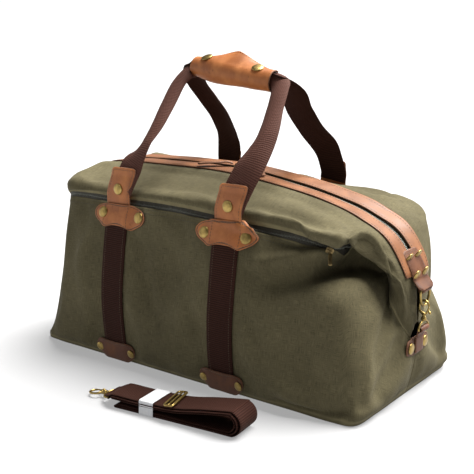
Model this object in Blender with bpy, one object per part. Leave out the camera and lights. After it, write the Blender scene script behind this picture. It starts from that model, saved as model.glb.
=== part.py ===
"""Canvas and leather duffel bag, with its shoulder strap lying folded in front of it.

Metres, +Z up. X runs along the bag, -Y is its front, and the origin is on the floor under the bag's middle.
"""

import math

import bmesh
import bpy
import numpy as np
from mathutils import Matrix, Vector
from mathutils.bvhtree import BVHTree

# Driving dimensions
GAP = 0.0003  # between pieces that touch
CANVAS = 0.0018
LEATHER = 0.0022
WEBBING = 0.0018
WEB_WIDTH = 0.038
STRAP_X = (-0.105, 0.075)  # the two carrying straps, left and right

# Half sections of the bag's skin in millimetres, from the middle of the bag (first) to the middle of its end
# (last). Each has ten points: base edge, turn, belly, upper belly, below the seam, seam, lip, shoulder,
# crown and zip line. y is given as the distance from the middle plane.
SECTIONS_RIGHT = (
    ((0, 126, 0), (0, 133, 22), (0, 137, 85), (0, 133, 150), (0, 124, 198),
     (0, 114, 221), (0, 104, 240), (0, 70, 253), (0, 34, 255), (0, 0, 255)),
    ((95, 126, 0), (95, 133, 22), (95, 137, 85), (94, 132, 150), (92, 123, 194),
     (91, 112, 215), (91, 103, 233), (91, 70, 245), (91, 34, 246), (91, 0, 244)),
    ((175, 126, 0), (176, 133, 22), (176, 134, 85), (172, 124, 146), (166, 110, 185),
     (163, 98, 206), (162, 104, 228), (160, 74, 237), (159, 34, 234), (159, 0, 231)),
    ((228, 126, 0), (232, 131, 22), (232, 126, 85), (222, 108, 138), (205, 86, 172),
     (200, 80, 190), (211, 106, 215), (205, 76, 225), (203, 34, 220), (203, 0, 217)),
    ((254, 118, 0), (258, 122, 22), (258, 104, 80), (246, 78, 126), (228, 60, 156),
     (222, 56, 172), (240, 76, 196), (240, 58, 202), (240, 32, 198), (240, 0, 196)),
    ((257, 75, 0), (262, 78, 22), (264, 64, 70), (258, 48, 102), (249, 42, 122),
     (246, 41, 134), (260, 46, 148), (263, 38, 154), (265, 28, 154), (266, 0, 154)),
    ((257, 30, 0), (263, 32, 22), (267, 30, 52), (266, 25, 74), (263, 23, 84),
     (262, 22, 92), (267, 22, 100), (268, 17, 104), (268, 11, 106), (269, 0, 108)),
    ((257, 0, 0), (263, 0, 22), (267, 0, 45), (268, 0, 60), (268, 0, 68),
     (268, 0, 73), (268, 0, 78), (268, 0, 83), (268, 0, 88), (269, 0, 93)),
)
SECTIONS_LEFT = (
    SECTIONS_RIGHT[0],
    ((95, 126, 0), (95, 133, 22), (95, 137, 85), (94, 132, 150), (92, 124, 198),
     (91, 113, 221), (91, 104, 239), (91, 70, 252), (91, 34, 255), (91, 0, 255)),
    ((170, 126, 0), (170, 133, 22), (168, 136, 85), (165, 131, 150), (160, 122, 198),
     (158, 113, 221), (157, 107, 238), (157, 70, 252), (157, 34, 253), (157, 0, 253)),
    ((226, 126, 0), (227, 131, 22), (219, 131, 85), (210, 125, 150), (204, 118, 196),
     (201, 111, 218), (202, 110, 235), (202, 72, 248), (202, 34, 248), (202, 0, 246)),
    ((254, 118, 0), (250, 120, 22), (238, 110, 85), (230, 98, 145), (223, 90, 180),
     (220, 86, 199), (228, 88, 215), (234, 62, 224), (240, 32, 218), (242, 0, 212)),
    ((257, 75, 0), (259, 78, 22), (258, 66, 72), (252, 54, 108), (247, 48, 130),
     (246, 46, 143), (256, 48, 156), (261, 38, 160), (264, 28, 159), (266, 0, 158)),
    SECTIONS_RIGHT[6],
    SECTIONS_RIGHT[7],
)
LAST = len(SECTIONS_RIGHT) - 1
ZIP_LINE = 9
FACE_STEP = 0.091  # metres of the bag's top to a station, near its middle

# Sewn shell and its pocket
POCKET_END = 3.3  # the last station where the front panel stops below the pocket's zip
PANEL_HEIGHTS = (0.14, 0.5, 1, 2, 3, 4)
PANEL_TOP, PANEL_TOP_UNDER_ZIP = 4.9, 4.62
GUSSET_HEIGHTS = (5.08, 5.5, 6, 7, 8, 8.7)
BOARD_THICK, BOARD_INSET = 0.003, 0.014
LINING_DROP, LINING_THICK = 0.0135, 0.0012
LINING_HEIGHTS = (1.0, 2, 3, 4, 4.5)
TAPE_HEIGHTS = (4.66, 4.83, 4.98)
POCKET_TAPE_LIFT = 0.0014
POCKET_SLIDER = (2.8, 4.83)  # station and height
POCKET_SLIDER_SIZE = (0.010, 0.0035, 0.003)
POCKET_PULL_SIZE = (0.005, 0.015, 0.0014)
POCKET_PULL_HINGE = 0.0058  # height above the skin
PULL_STAND_OFF = 0.55  # how far the pocket's pull hangs away from the slope above the belly, in radians

# Main zip
FACING_HEIGHTS = (8, 8.4, 8.8)
FACING_LIFT = 0.0008
FACING_THICK = 0.0018
ZIP_TAPE_WIDTH, ZIP_TAPE_THICK = 0.026, 0.0012
SLIDER_SIZE = (0.012, 0.0095, 0.0040)
SLIDER_SINK = 0.0012
PULL_PIVOT = (0.0072, 0.0035)  # ahead of the slider's middle, and above it
PULL_END_LIFT = 0.0065
PULL_WIDTHS = (0.0084, 0.0120, 0.0096)

# Patches and bottom tabs on the two long faces
PATCH_LOW, PATCH_SEAM, PATCH_HIGH = 0.182, 0.207, 0.2150  # PATCH_SEAM is where the patch leaves the face
PATCH_WIDTH, PATCH_DIP = 0.088, 0.006
TAB_LOW, TAB_FOOT, TAB_HIGH = 0.0012, 0.003, 0.030  # TAB_FOOT is where the tab's face begins
TAB_WIDTH, TAB_DIP = 0.070, 0.002
WEBBING_LOW, WEBBING_HIGH = 0.010, 0.200
FACE_SLACK = 0.0009  # room for the faces' roundness under what is sewn on them

# Side cinches
RING_PIVOT = (0.277, 0.139)  # x and z of each D-ring's pivot
RING_DROP = 0.021
RING_HALF = 0.0125  # half the width of a D-ring's bar, and of a hook's eye
RING_WIRE = 0.0016
END_TAB_WIDTH = 0.036
END_TAB_LOOP = 0.0045
END_TAB_STATIONS = (4.42, 5.0)
END_TAB_HEIGHT = 8.6
LOWER_TAB_FACE = 0.2688
LOWER_TAB_HALF = 0.0275
LOWER_LOOP_WIDTH = 0.020
LOWER_LOOP_RADIUS = 0.0044
LOWER_LOOP_BORE = 0.0021
HOOK_REACH = 0.0286  # from the eye's bar to the D-ring's bar
HOOK_WIRE = 0.0016
EYE_WIRE = 0.0013
GATE_WIRE = 0.0012
BARREL = (0.0036, 0.0052, 0.0122)  # radius, height and place along the hook

# Carrying handles
# Each leg's route from its foot up to the grip, in millimetres; y is the distance from the middle plane
FRONT_LEFT_LEG = (
    (-105, 120, 220.8), (-103.8, 120, 230), (-94.5, 119.2, 246), (-80, 109, 282),
    (-77.5, 82, 315), (-83.5, 50, 345), (-86, 26, 369), (-77, 9, 386),
)
FRONT_RIGHT_LEG = (
    (75, 120, 220.8), (76, 120, 230), (83.5, 119.2, 246), (97.5, 109, 282),
    (97, 82, 315), (84, 50, 340), (74.5, 26, 359), (65, 9, 370.5),
)
REAR_LEFT_LEG = (
    (-105, 120, 220.8), (-105.2, 120, 230), (-105.5, 119.2, 246), (-98, 109, 282),
    (-88, 82, 315), (-86, 50, 345), (-87, 26, 369), (-77, 9, 386),
)
REAR_RIGHT_LEG = (
    (75, 120, 220.8), (75.2, 120, 230), (76, 119.2, 246), (69, 109, 280),
    (62, 82, 310), (63, 50, 338), (70, 26, 358), (65, 9, 370.5),
)
WRAP_CENTRE = Vector((-0.006, 0, 0.380))
WRAP_TILT = math.radians(6.8)
WRAP_LENGTH = 0.128
WRAP_DEPTH = 0.034
WRAP_HEIGHT = 0.032
GRIP_OFFSET = 0.0055
GRIP_THICK = 0.0036
GRIP_WIDTH = 0.020
GRIP_PLACES = (-0.058, -0.03, 0.0, 0.03, 0.052)  # along the wrap
HANDLE_TAB_WIDTH, HANDLE_TAB_TOP = 0.041, 0.262
RIVET_RADIUS, RIVET_HEIGHT = 0.0055, 0.0020
FLAP_SHORTER = 0.010

# Shoulder strap on the floor
HANK_LEFT = (-0.010, -0.228)
HANK_RIGHT = (0.170, -0.206)
BEND_RADIUS = 0.0155
BAND_AT, BAND_WIDTH, BAND_HEIGHT, BAND_THICK = 0.30, 0.020, 0.0196, 0.0004
ADJUSTER_AT, ADJUSTER_Z, ADJUSTER_SIZE = 0.46, 0.0214, (0.014, 0.045, 0.0030)
ADJUSTER_LEAN, ADJUSTER_TURN = -0.06, 0.16
STRAP_HOOK_SEAT = (-0.0078, 0.0084)
STRAP_HOOK_DROOP = 0.13  # how far the hook on the strap leans down to the floor


def clear_scene():
    for old in list(bpy.data.objects):
        bpy.data.objects.remove(old, do_unlink=True)


def material(name, colour, roughness, metallic=0.0):
    made = bpy.data.materials.new(name)
    made.use_nodes = True
    shader = made.node_tree.nodes["Principled BSDF"]
    shader.inputs["Base Color"].default_value = (*colour, 1)
    shader.inputs["Roughness"].default_value = roughness
    shader.inputs["Metallic"].default_value = metallic
    made.diffuse_color = (*colour, 1)
    return made


clear_scene()
PARTS = bpy.data.collections.new("duffel_bag")
CUTTERS = bpy.data.collections.new("cutters")
for group in (PARTS, CUTTERS):
    bpy.context.scene.collection.children.link(group)
CUTTERS.hide_render = True
CANVAS_GREEN = material("canvas", (0.105, 0.100, 0.065), 0.9)
LINING = material("lining", (0.05, 0.045, 0.035), 0.9)
BROWN_WEB = material("webbing", (0.055, 0.026, 0.020), 0.85)
TAN_LEATHER = material("leather", (0.28, 0.12, 0.05), 0.55)
BRASS = material("antique_brass", (0.32, 0.25, 0.10), 0.38, 1.0)
ZIP_TAPE = material("zip_tape", (0.06, 0.065, 0.05), 0.8)
BOARD = material("board", (0.09, 0.08, 0.07), 0.8)
PAPER = material("paper", (0.85, 0.85, 0.85), 0.6)


def add_object(name, mesh, look, collection=PARTS):
    made = bpy.data.objects.new(name, mesh)
    collection.objects.link(made)
    mesh.materials.clear()
    mesh.materials.append(look)
    return made


def mesh_from(name, points, faces):
    mesh = bpy.data.meshes.new(name)
    mesh.from_pydata([tuple(p) for p in points], [], faces)
    shape = bmesh.new()
    shape.from_mesh(mesh)
    bmesh.ops.remove_doubles(shape, verts=shape.verts, dist=1e-6)
    shape.to_mesh(mesh)
    shape.free()
    mesh.shade_smooth()
    mesh.set_sharp_from_angle(angle=math.radians(40))
    return mesh


def through(rows, at, before, after):
    """The smooth curve through rows, read at the place at. before and after continue the rows."""
    i = int(min(max(math.floor(at), 0), len(rows) - 2))
    f = at - i
    p0 = rows[i - 1] if i > 0 else before
    p1, p2 = rows[i], rows[i + 1]
    p3 = rows[i + 2] if i + 2 < len(rows) else after
    square, cube = 2 * p0 - 5 * p1 + 4 * p2 - p3, 3 * p1 - p0 - 3 * p2 + p3
    return 0.5 * (2 * p1 + (p2 - p0) * f + square * f * f + cube * f**3)


RIGHT = np.array(SECTIONS_RIGHT) / 1000
LEFT = np.array(SECTIONS_LEFT) / 1000
FLIP_X = np.array((-1, 1, 1))
FLIP_Y = np.array((1, -1, 1))


def skin(station, height, side):
    """A point of the bag's skin. station runs from -7 (left end) through 0 to 7 (right end), height from 0
    (base) to 9 (zip line), and side is -1 at the front and 1 at the rear."""
    sections = LEFT if station < 0 else RIGHT
    other = RIGHT if station < 0 else LEFT
    section = through(sections, abs(station), other[1] * FLIP_X, sections[LAST - 1] * FLIP_Y)
    point = through(section, height, 2 * section[0] - section[1], section[-2] * FLIP_Y)
    return np.array((math.copysign(1, station) * point[0], side * point[1], point[2]))


def skin_normal(station, height, side):
    step = 0.02
    along = skin(min(station + step, LAST), height, side) - skin(max(station - step, -LAST), height, side)
    up = skin(station, min(height + step, ZIP_LINE), side) - skin(station, max(height - step, 0), side)
    normal = np.cross(along, up) * -side
    return normal / max(np.linalg.norm(normal), 1e-9)


def skin_strip(name, stations, heights_at, side, lift, thickness, look):
    """A closed sheet over part of the skin, whose inner face stands off it by lift."""
    points = []
    for station in stations:
        for height in heights_at(station):
            normal = skin_normal(station, height, side)
            base = skin(station, height, side)
            points.append((base + normal * lift, base + normal * (lift + thickness)))
    rows = len(stations)
    columns = len(points) // rows
    flat = [p[0] for p in points] + [p[1] for p in points]
    shift = len(points)
    faces = []
    for i in range(rows - 1):
        for j in range(columns - 1):
            a, b = i * columns + j, (i + 1) * columns + j
            faces.append((a, a + 1, b + 1, b))
            faces.append((a + shift, b + shift, b + shift + 1, a + shift + 1))
    for i in range(rows - 1):
        for j, turn in ((0, 1), (columns - 1, -1)):
            a, b = i * columns + j, (i + 1) * columns + j
            faces.append((a, b, b + shift, a + shift)[::turn])
    for j in range(columns - 1):
        for i, turn in ((0, -1), (rows - 1, 1)):
            a = i * columns + j
            faces.append((a, a + 1, a + 1 + shift, a + shift)[::turn])
    if side > 0:
        faces = [face[::-1] for face in faces]
    return add_object(name, mesh_from(name, flat, faces), look)


def spaced(low, high, step):
    return list(np.linspace(low, high, max(int(round(abs(high - low) / step)), 1) + 1))


def skin_tree():
    """The front half of the skin as a surface that rays can be sent against."""
    stations = spaced(-5, 5, 0.2)
    heights = spaced(0, 6, 0.2)
    points = [Vector(skin(s, h, -1)) for s in stations for h in heights]
    n = len(heights)
    faces = [
        (i * n + j, i * n + j + 1, (i + 1) * n + j + 1, (i + 1) * n + j)
        for i in range(len(stations) - 1)
        for j in range(n - 1)
    ]
    return BVHTree.FromPolygons(points, faces)


FRONT_SKIN = skin_tree()


def face_depth(x, z):
    """How far the front panel stands from the middle plane at this place."""
    hit = FRONT_SKIN.ray_cast(Vector((x, -0.4, z)), Vector((0, 1, 0)))
    return -hit[0].y


def front_heights(station):
    """Heights of the front panel, which stops below the pocket's zip and is full height beyond it."""
    return (*PANEL_HEIGHTS, PANEL_TOP_UNDER_ZIP if abs(station) <= POCKET_END else PANEL_TOP)


def rear_heights(station):
    return (*PANEL_HEIGHTS, PANEL_TOP)


def sewn_shell():
    stations = spaced(-LAST, LAST, 0.5)
    for name, side, heights in (("front_panel", -1, front_heights), ("rear_panel", 1, rear_heights)):
        skin_strip(name, stations, heights, side, -CANVAS, CANVAS, CANVAS_GREEN)
        trim_middle(name, side)
    stations = [-6.5, -6.2] + spaced(-6, 6, 0.5) + [6.2, 6.5]
    for name, side in (("top_gusset_front", -1), ("top_gusset_rear", 1)):
        skin_strip(name, stations, lambda station: GUSSET_HEIGHTS, side, -CANVAS, CANVAS, CANVAS_GREEN)


def trim_middle(name, side):
    """Cuts a panel's two ends back from the end seams."""
    centre = (0, side * (GAP / 2 - 0.005), 0.15)
    cutter = box_mesh(f"{name}_trim", (0.6, GAP + 0.01, 0.3), centre, BOARD, CUTTERS)
    subtract(bpy.data.objects[name], cutter)


def box_mesh(name, size, centre, look, collection=PARTS):
    shape = bmesh.new()
    bmesh.ops.create_cube(shape, size=1, matrix=Matrix.Diagonal((*size, 1)))
    mesh = bpy.data.meshes.new(name)
    shape.to_mesh(mesh)
    shape.free()
    made = add_object(name, mesh, look, collection)
    made.location = centre
    return made


def subtract(target, cutter, operation="DIFFERENCE"):
    cutter.hide_render = True
    cutter.display_type = "WIRE"
    cut = target.modifiers.new(operation.lower(), "BOOLEAN")
    cut.operation = operation
    cut.object = cutter
    cut.solver = "EXACT"


def cylinder_mesh(name, radius, depth, centre, axis, look, collection=PARTS, sides=20):
    shape = bmesh.new()
    bmesh.ops.create_cone(
        shape, cap_ends=True, segments=sides, radius1=radius, radius2=radius, depth=depth,
        matrix=Vector(axis).to_track_quat("Z", "Y").to_matrix().to_4x4(),
    )
    mesh = bpy.data.meshes.new(name)
    shape.to_mesh(mesh)
    shape.free()
    made = add_object(name, mesh, look, collection)
    made.location = centre
    return made


def flat_outline(name, outline, thickness, look, collection=PARTS):
    """A flat plate from a closed outline in the local XY plane, centred on it in Z."""
    data = bpy.data.curves.new(name, "CURVE")
    data.dimensions = "2D"
    data.fill_mode = "BOTH"
    data.extrude = thickness / 2
    spline = data.splines.new("POLY")
    spline.points.add(len(outline) - 1)
    for point, (x, y) in zip(spline.points, outline):
        point.co = (x, y, 0, 1)
    spline.use_cyclic_u = True
    made = bpy.data.objects.new(name, data)
    data.materials.append(look)
    collection.objects.link(made)
    return made


def wire(name, points, radius, look, closed=False, collection=PARTS, sides=2):
    data = bpy.data.curves.new(name, "CURVE")
    data.dimensions = "3D"
    data.bevel_depth = radius
    data.bevel_resolution = sides
    data.use_fill_caps = not closed
    spline = data.splines.new("POLY")
    spline.points.add(len(points) - 1)
    for point, place in zip(spline.points, points):
        point.co = (*place, 1)
    spline.use_cyclic_u = closed
    made = bpy.data.objects.new(name, data)
    data.materials.append(look)
    collection.objects.link(made)
    return made


def solid_of(curve):
    """The same curve object as a mesh, its caps welded, so that it can be cut or joined."""
    bpy.context.view_layer.update()
    graph = bpy.context.evaluated_depsgraph_get()
    mesh = bpy.data.meshes.new_from_object(curve.evaluated_get(graph))
    shape = bmesh.new()
    shape.from_mesh(mesh)
    bmesh.ops.remove_doubles(shape, verts=shape.verts, dist=1e-6)
    bmesh.ops.recalc_face_normals(shape, faces=shape.faces)
    shape.to_mesh(mesh)
    shape.free()
    name, matrix, collection = curve.name, curve.matrix_world.copy(), curve.users_collection[0]
    bpy.data.objects.remove(curve)
    mesh.name = name
    made = bpy.data.objects.new(name, mesh)
    made.matrix_world = matrix
    collection.objects.link(made)
    return made


def smooth_path(points, count):
    """count places on the smooth curve through the points."""
    rows = np.array(points, float)
    before = 2 * rows[0] - rows[1]
    after = 2 * rows[-1] - rows[-2]
    return [through(rows, t, before, after) for t in np.linspace(0, len(rows) - 1, count)]


def ribbon(name, centres, faces_out, widths, thicknesses, look):
    """A flat strap along centres. faces_out gives the strap's outward normal at each of them."""
    centres = [Vector(c) for c in centres]
    points = []
    for i, centre in enumerate(centres):
        along = (centres[min(i + 1, len(centres) - 1)] - centres[max(i - 1, 0)]).normalized()
        out = Vector(faces_out[i])
        out = (out - along * out.dot(along)).normalized()
        across = along.cross(out)
        half = across * widths[i] / 2
        thick = out * thicknesses[i] / 2
        points += [centre - half - thick, centre + half - thick, centre + half + thick, centre - half + thick]
    faces = [(3, 2, 1, 0)]
    for i in range(len(centres) - 1):
        a = 4 * i
        faces += [(a + j, a + (j + 1) % 4, a + 4 + (j + 1) % 4, a + 4 + j) for j in range(4)]
    last = 4 * (len(centres) - 1)
    faces.append((last, last + 1, last + 2, last + 3))
    made = add_object(name, mesh_from(name, points, faces), look)
    shape = bmesh.new()
    shape.from_mesh(made.data)
    bmesh.ops.recalc_face_normals(shape, faces=shape.faces)
    shape.to_mesh(made.data)
    shape.free()
    return made


def base_outline(inset):
    """The bag's base as seen from above, drawn in by inset."""
    outline = []
    for side, stations in ((-1, spaced(-LAST, LAST, 0.5)), (1, spaced(LAST, -LAST, 0.5))):
        for station in stations[:-1]:
            point = skin(station, 0, side)
            outline.append((point[0], point[1]))
    half = np.array((max(p[0] for p in outline), max(p[1] for p in outline)))
    scale = (half - inset) / half
    return [(x * scale[0], y * scale[1]) for x, y in outline]


def bottom():
    panel = flat_outline("bottom_panel", base_outline(0.0002), CANVAS, CANVAS_GREEN)
    panel.location.z = CANVAS / 2
    board = flat_outline("bottom_board", base_outline(BOARD_INSET), BOARD_THICK, BOARD)
    board.location.z = CANVAS + GAP + BOARD_THICK / 2


def pocket():
    tape, bag = spaced(-3, 3, 0.5), spaced(-2.6, 2.6, 0.65)
    skin_strip("pocket_zip_tape", tape, lambda at: TAPE_HEIGHTS, -1, -CANVAS, POCKET_TAPE_LIFT, ZIP_TAPE)
    skin_strip("pocket_lining", bag, lambda at: LINING_HEIGHTS, -1, -LINING_DROP, LINING_THICK, LINING)
    pocket_slider()


def pocket_slider():
    """The pocket's slider on its tape, and the small pull that hangs from it."""
    centre = Vector(skin(*POCKET_SLIDER, -1))
    out = Vector(skin_normal(*POCKET_SLIDER, -1))
    turn = out.to_track_quat("Z", "Y").to_matrix().to_4x4()
    seat = bpy.data.objects.new("pocket_slider_seat", None)
    PARTS.objects.link(seat)
    seat.matrix_world = Matrix.Translation(centre) @ turn
    slider = box_mesh("pocket_slider", POCKET_SLIDER_SIZE, (0, 0, 0.0024), BRASS)
    slider.parent = seat
    hinge = bpy.data.objects.new("pocket_pull_hinge", None)
    PARTS.objects.link(hinge)
    hinge.parent = seat
    hinge.location = (0, 0, POCKET_PULL_HINGE)
    hinge.rotation_euler.x = -PULL_STAND_OFF
    pull = box_mesh("pocket_pull", POCKET_PULL_SIZE, (0, -0.0095, 0), BRASS)
    pull.parent = hinge


def main_zip():
    stations = spaced(-5, 5, 0.5)
    for side in (-1, 1):
        name = "zip_facing_front" if side < 0 else "zip_facing_rear"
        skin_strip(name, stations, lambda at: FACING_HEIGHTS, side, FACING_LIFT, FACING_THICK, TAN_LEATHER)
    centres, normals = [], []
    for station in stations:
        normal = skin_normal(station, 8.9, -1)
        normal[1] = 0
        normal /= np.linalg.norm(normal)
        normals.append(normal)
        centres.append(skin(station, ZIP_LINE, -1) - normal * (CANVAS + GAP + ZIP_TAPE_THICK))
    count = len(stations)
    ribbon("zip_tape", centres, normals, [ZIP_TAPE_WIDTH] * count, [ZIP_TAPE_THICK] * count, ZIP_TAPE)


def sliders():
    """Two sliders that meet head to head, each with a leather tongue that lies along the bag's top."""
    for name, x, end_x, end_y in (("left", 0.000, -0.052, -0.006), ("right", 0.016, 0.062, -0.008)):
        top = skin(x / FACE_STEP, ZIP_LINE, -1)[2]
        z = top + LEATHER + GAP + SLIDER_SIZE[2] / 2 - SLIDER_SINK
        box_mesh(f"slider_{name}", SLIDER_SIZE, (x, 0, z), BRASS)
        pivot = Vector((x + math.copysign(PULL_PIVOT[0], end_x), 0, z + PULL_PIVOT[1]))
        end = Vector((end_x, end_y, skin(end_x / FACE_STEP, ZIP_LINE, -1)[2] + PULL_END_LIFT))
        route = [pivot, pivot.lerp(end, 0.5) + Vector((0, 0, 0.0012)), end]
        ribbon(f"slider_pull_{name}", route, [(0, 0, 1)] * 3, PULL_WIDTHS, [LEATHER] * 3, TAN_LEATHER)


def end_fittings(word, sign):
    """The end tab with its D-ring, and the lower tab that holds the snap hook."""
    pivot_x, pivot_z = RING_PIVOT
    end_tab(f"end_tab_{word}", sign)
    bar = [(0, -RING_HALF, 0), (0, RING_HALF, 0)]
    turns = np.linspace(0, math.pi, 15)[1:-1]
    bow = [(0, RING_HALF * math.cos(turn), -RING_DROP * math.sin(turn) ** 0.8) for turn in turns]
    ring = wire(f"d_ring_{word}", bar + bow, RING_WIRE, BRASS, closed=True)
    ring.location = (sign * pivot_x, 0, pivot_z)
    eye_z = pivot_z - RING_DROP - HOOK_REACH
    lower_tab(f"lower_tab_{word}", sign, eye_z)
    seat = bpy.data.objects.new(f"snap_hook_{word}_seat", None)
    PARTS.objects.link(seat)
    seat.location = (sign * pivot_x, 0, eye_z)
    if sign < 0:
        seat.rotation_euler.z = math.pi
    snap_hook(f"snap_hook_{word}", seat)


def end_tab(name, sign):
    """A leather tab folded round the D-ring's bar: a side outline, as thick as the tab is wide."""
    pivot_x, pivot_z = RING_PIVOT
    places = [skin(sign * station, END_TAB_HEIGHT, -1) for station in END_TAB_STATIONS]
    (top_x, top_z), (mid_x, mid_z) = ((abs(place[0]), place[2]) for place in places)
    lift = LEATHER + 2 * GAP + 0.0010
    outline = [
        (top_x + lift * 0.75, top_z + lift * 0.75), (mid_x + lift, mid_z),
        (pivot_x - END_TAB_LOOP, pivot_z + 0.001),
    ]
    for turn in np.linspace(math.pi, 2 * math.pi, 9):
        outline.append((pivot_x + END_TAB_LOOP * math.cos(turn), pivot_z + END_TAB_LOOP * math.sin(turn)))
    outline += [
        (pivot_x + 0.0042, pivot_z + 0.006), (mid_x + lift + 0.0048, mid_z + 0.006),
        (top_x + lift + 0.0030, top_z + lift + 0.0030),
    ]
    plate = flat_outline(name, outline, END_TAB_WIDTH, TAN_LEATHER)
    plate.rotation_euler = (math.pi / 2, 0, 0)
    tab = solid_of(plate)
    if sign < 0:
        tab.data.transform(Matrix.Diagonal((-1, 1, 1, 1)))
        tab.data.flip_normals()
    bore, place = RING_WIRE + 0.0005, (sign * pivot_x, 0, pivot_z)
    subtract(tab, cylinder_mesh(f"{name}_bore", bore, 0.05, place, (0, 1, 0), BOARD, CUTTERS, 16))
    for word, y in (("front", -RING_HALF), ("rear", RING_HALF)):
        centre = (sign * pivot_x, y * 1.18, pivot_z - 0.0035)
        subtract(tab, box_mesh(f"{name}_notch_{word}", (0.016, 0.01012, 0.012), centre, BOARD, CUTTERS))


def lower_tab(name, sign, eye_z):
    """A winged plate on the end, with a loop of the same leather round the snap hook's eye."""
    pivot_x = RING_PIVOT[0]
    plate_x = LOWER_TAB_FACE + LEATHER / 2
    half, low, high = LOWER_TAB_HALF, eye_z - 0.033, eye_z - 0.0095
    outline = [
        (-half, high - 0.005), (-0.012, high), (0.012, high), (half, high - 0.005),
        (half, low + 0.003), (0.012, low), (-0.012, low), (-half, low + 0.003),
    ]
    plate = flat_outline(name, outline, LEATHER, TAN_LEATHER)
    plate.rotation_euler = (math.pi / 2, 0, math.pi / 2)
    plate.location.x = sign * plate_x
    tab = solid_of(plate)
    width = LOWER_LOOP_WIDTH
    eye, across = (sign * pivot_x, 0, eye_z), (0, 1, 0)
    neck = (sign * (plate_x + 0.0022), 0, eye_z - 0.0085)
    bridge = (sign * (pivot_x - 0.0025), 0, eye_z - 0.0036)
    for piece in (
        box_mesh(f"{name}_neck", (0.0060, width, 0.0125), neck, BOARD, CUTTERS),
        cylinder_mesh(f"{name}_loop", LOWER_LOOP_RADIUS, width, eye, across, BOARD, CUTTERS),
        box_mesh(f"{name}_bridge", (0.0066, width, 0.0050), bridge, BOARD, CUTTERS),
    ):
        subtract(tab, piece, "UNION")
    subtract(tab, cylinder_mesh(f"{name}_bore", LOWER_LOOP_BORE, 0.05, eye, across, BOARD, CUTTERS, 16))


def snap_hook(prefix, seat, swivel=0.0):
    """A swivel snap hook. Its eye's bar lies on the seat's Y axis and the hook stands along the seat's Z
    axis, turned about that axis by swivel."""
    half = RING_HALF
    eye_path = [
        (0, -half, 0), (0, half, 0), (0, half * 0.9, 0.005), (0, 0.004, 0.0098), (0, -0.004, 0.0098),
        (0, -half * 0.9, 0.005),
    ]
    eye = solid_of(wire(f"{prefix}_eye", eye_path, EYE_WIRE, BRASS, closed=True))
    radius, height, place = BARREL
    barrel = cylinder_mesh(f"{prefix}_barrel", radius, height, (0, 0, place), (0, 0, 1), BRASS, CUTTERS, 16)
    barrel.parent = seat
    eye.parent = seat
    subtract(eye, barrel, "UNION")
    body_path = smooth_path(
        ((0, 0, 0.0154), (0, 0, 0.0175), (-0.0040, 0, 0.0198), (-0.0062, 0, 0.0240), (-0.0058, 0, 0.0300),
         (-0.0030, 0, 0.0338), (0.0010, 0, 0.0345), (0.0046, 0, 0.0322), (0.0060, 0, 0.0285)), 17)
    turned = bpy.data.objects.new(f"{prefix}_swivel", None)
    PARTS.objects.link(turned)
    turned.parent = seat
    turned.rotation_euler.z = swivel
    body = wire(f"{prefix}_body", body_path, HOOK_WIRE, BRASS)
    body.parent = turned
    gate_path = [(0.0030, 0, 0.0186), (0.0046, 0, 0.0215), (0.0057, 0, 0.0262)]
    gate = wire(f"{prefix}_gate", gate_path, GATE_WIRE, BRASS)
    gate.parent = turned


def winged_patch(width, height, dip):
    """Leather patch: rounded wings at both ends and a hollow lower edge."""
    half_w, half_h = width / 2, height / 2
    outline = []
    wing = 0.62 * half_h
    for a in np.linspace(-0.62 * math.pi, 0.5 * math.pi, 9):
        outline.append((half_w - wing + wing * math.cos(a), -half_h * 0.12 + wing * math.sin(a)))
    outline += [(0.026, half_h), (-0.026, half_h)]
    for a in np.linspace(0.5 * math.pi, 1.62 * math.pi, 9):
        outline.append((-half_w + wing + wing * math.cos(a), -half_h * 0.12 + wing * math.sin(a)))
    outline += [(-0.018, -half_h + dip), (0, -half_h + dip * 1.3), (0.018, -half_h + dip)]
    return outline


def strap_set(side, word, x):
    """One carrying strap's fixed pieces on one face of the bag: webbing, patch and bottom tab."""
    place = f"{'front' if side < 0 else 'rear'}_{word}"
    heights = np.linspace(WEBBING_LOW, WEBBING_HIGH, 9)
    stand_off = GAP + FACE_SLACK + WEBBING / 2
    centres = [Vector((x, side * (face_depth(x, z) + stand_off), z)) for z in heights]
    count = len(centres)
    normals, widths, thicknesses = [(0, side, 0)] * count, [WEB_WIDTH] * count, [WEBBING] * count
    ribbon(f"lower_webbing_{place}", centres, normals, widths, thicknesses, BROWN_WEB)
    for name, low, high, foot, top, width, dip in (
        ("patch", PATCH_LOW, PATCH_HIGH, PATCH_LOW, PATCH_SEAM, PATCH_WIDTH, PATCH_DIP),
        ("bottom_tab", TAB_LOW, TAB_HIGH, TAB_FOOT, TAB_HIGH, TAB_WIDTH, TAB_DIP),
    ):
        lean = math.atan2(face_depth(x, foot) - face_depth(x, top), top - foot)
        plate = flat_outline(f"{name}_{place}", winged_patch(width, high - low, dip), LEATHER, TAN_LEATHER)
        place_plate(plate, x, side, (low + high) / 2, lean, place_depth(x, foot, high, lean))


def place_depth(x, low, high, lean):
    """The depth of a leaning plate's middle that just clears the webbing below it."""
    middle = (low + high) / 2
    clear = GAP + FACE_SLACK + WEBBING + GAP + 0.0006
    need = [
        face_depth(x + dx, z) + clear + (z - middle) * math.tan(lean)
        for dx in (-0.03, -0.015, 0, 0.015, 0.03)
        for z in np.linspace(low, high, 7)
    ]
    return max(need) + LEATHER / 2


def place_plate(plate, x, side, z, lean, depth):
    plate.matrix_world = (
        Matrix.Translation((x, side * depth, z))
        @ Matrix.Rotation(0 if side < 0 else math.pi, 4, "Z")
        @ Matrix.Rotation(math.pi / 2 - lean, 4, "X")
    )


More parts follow.
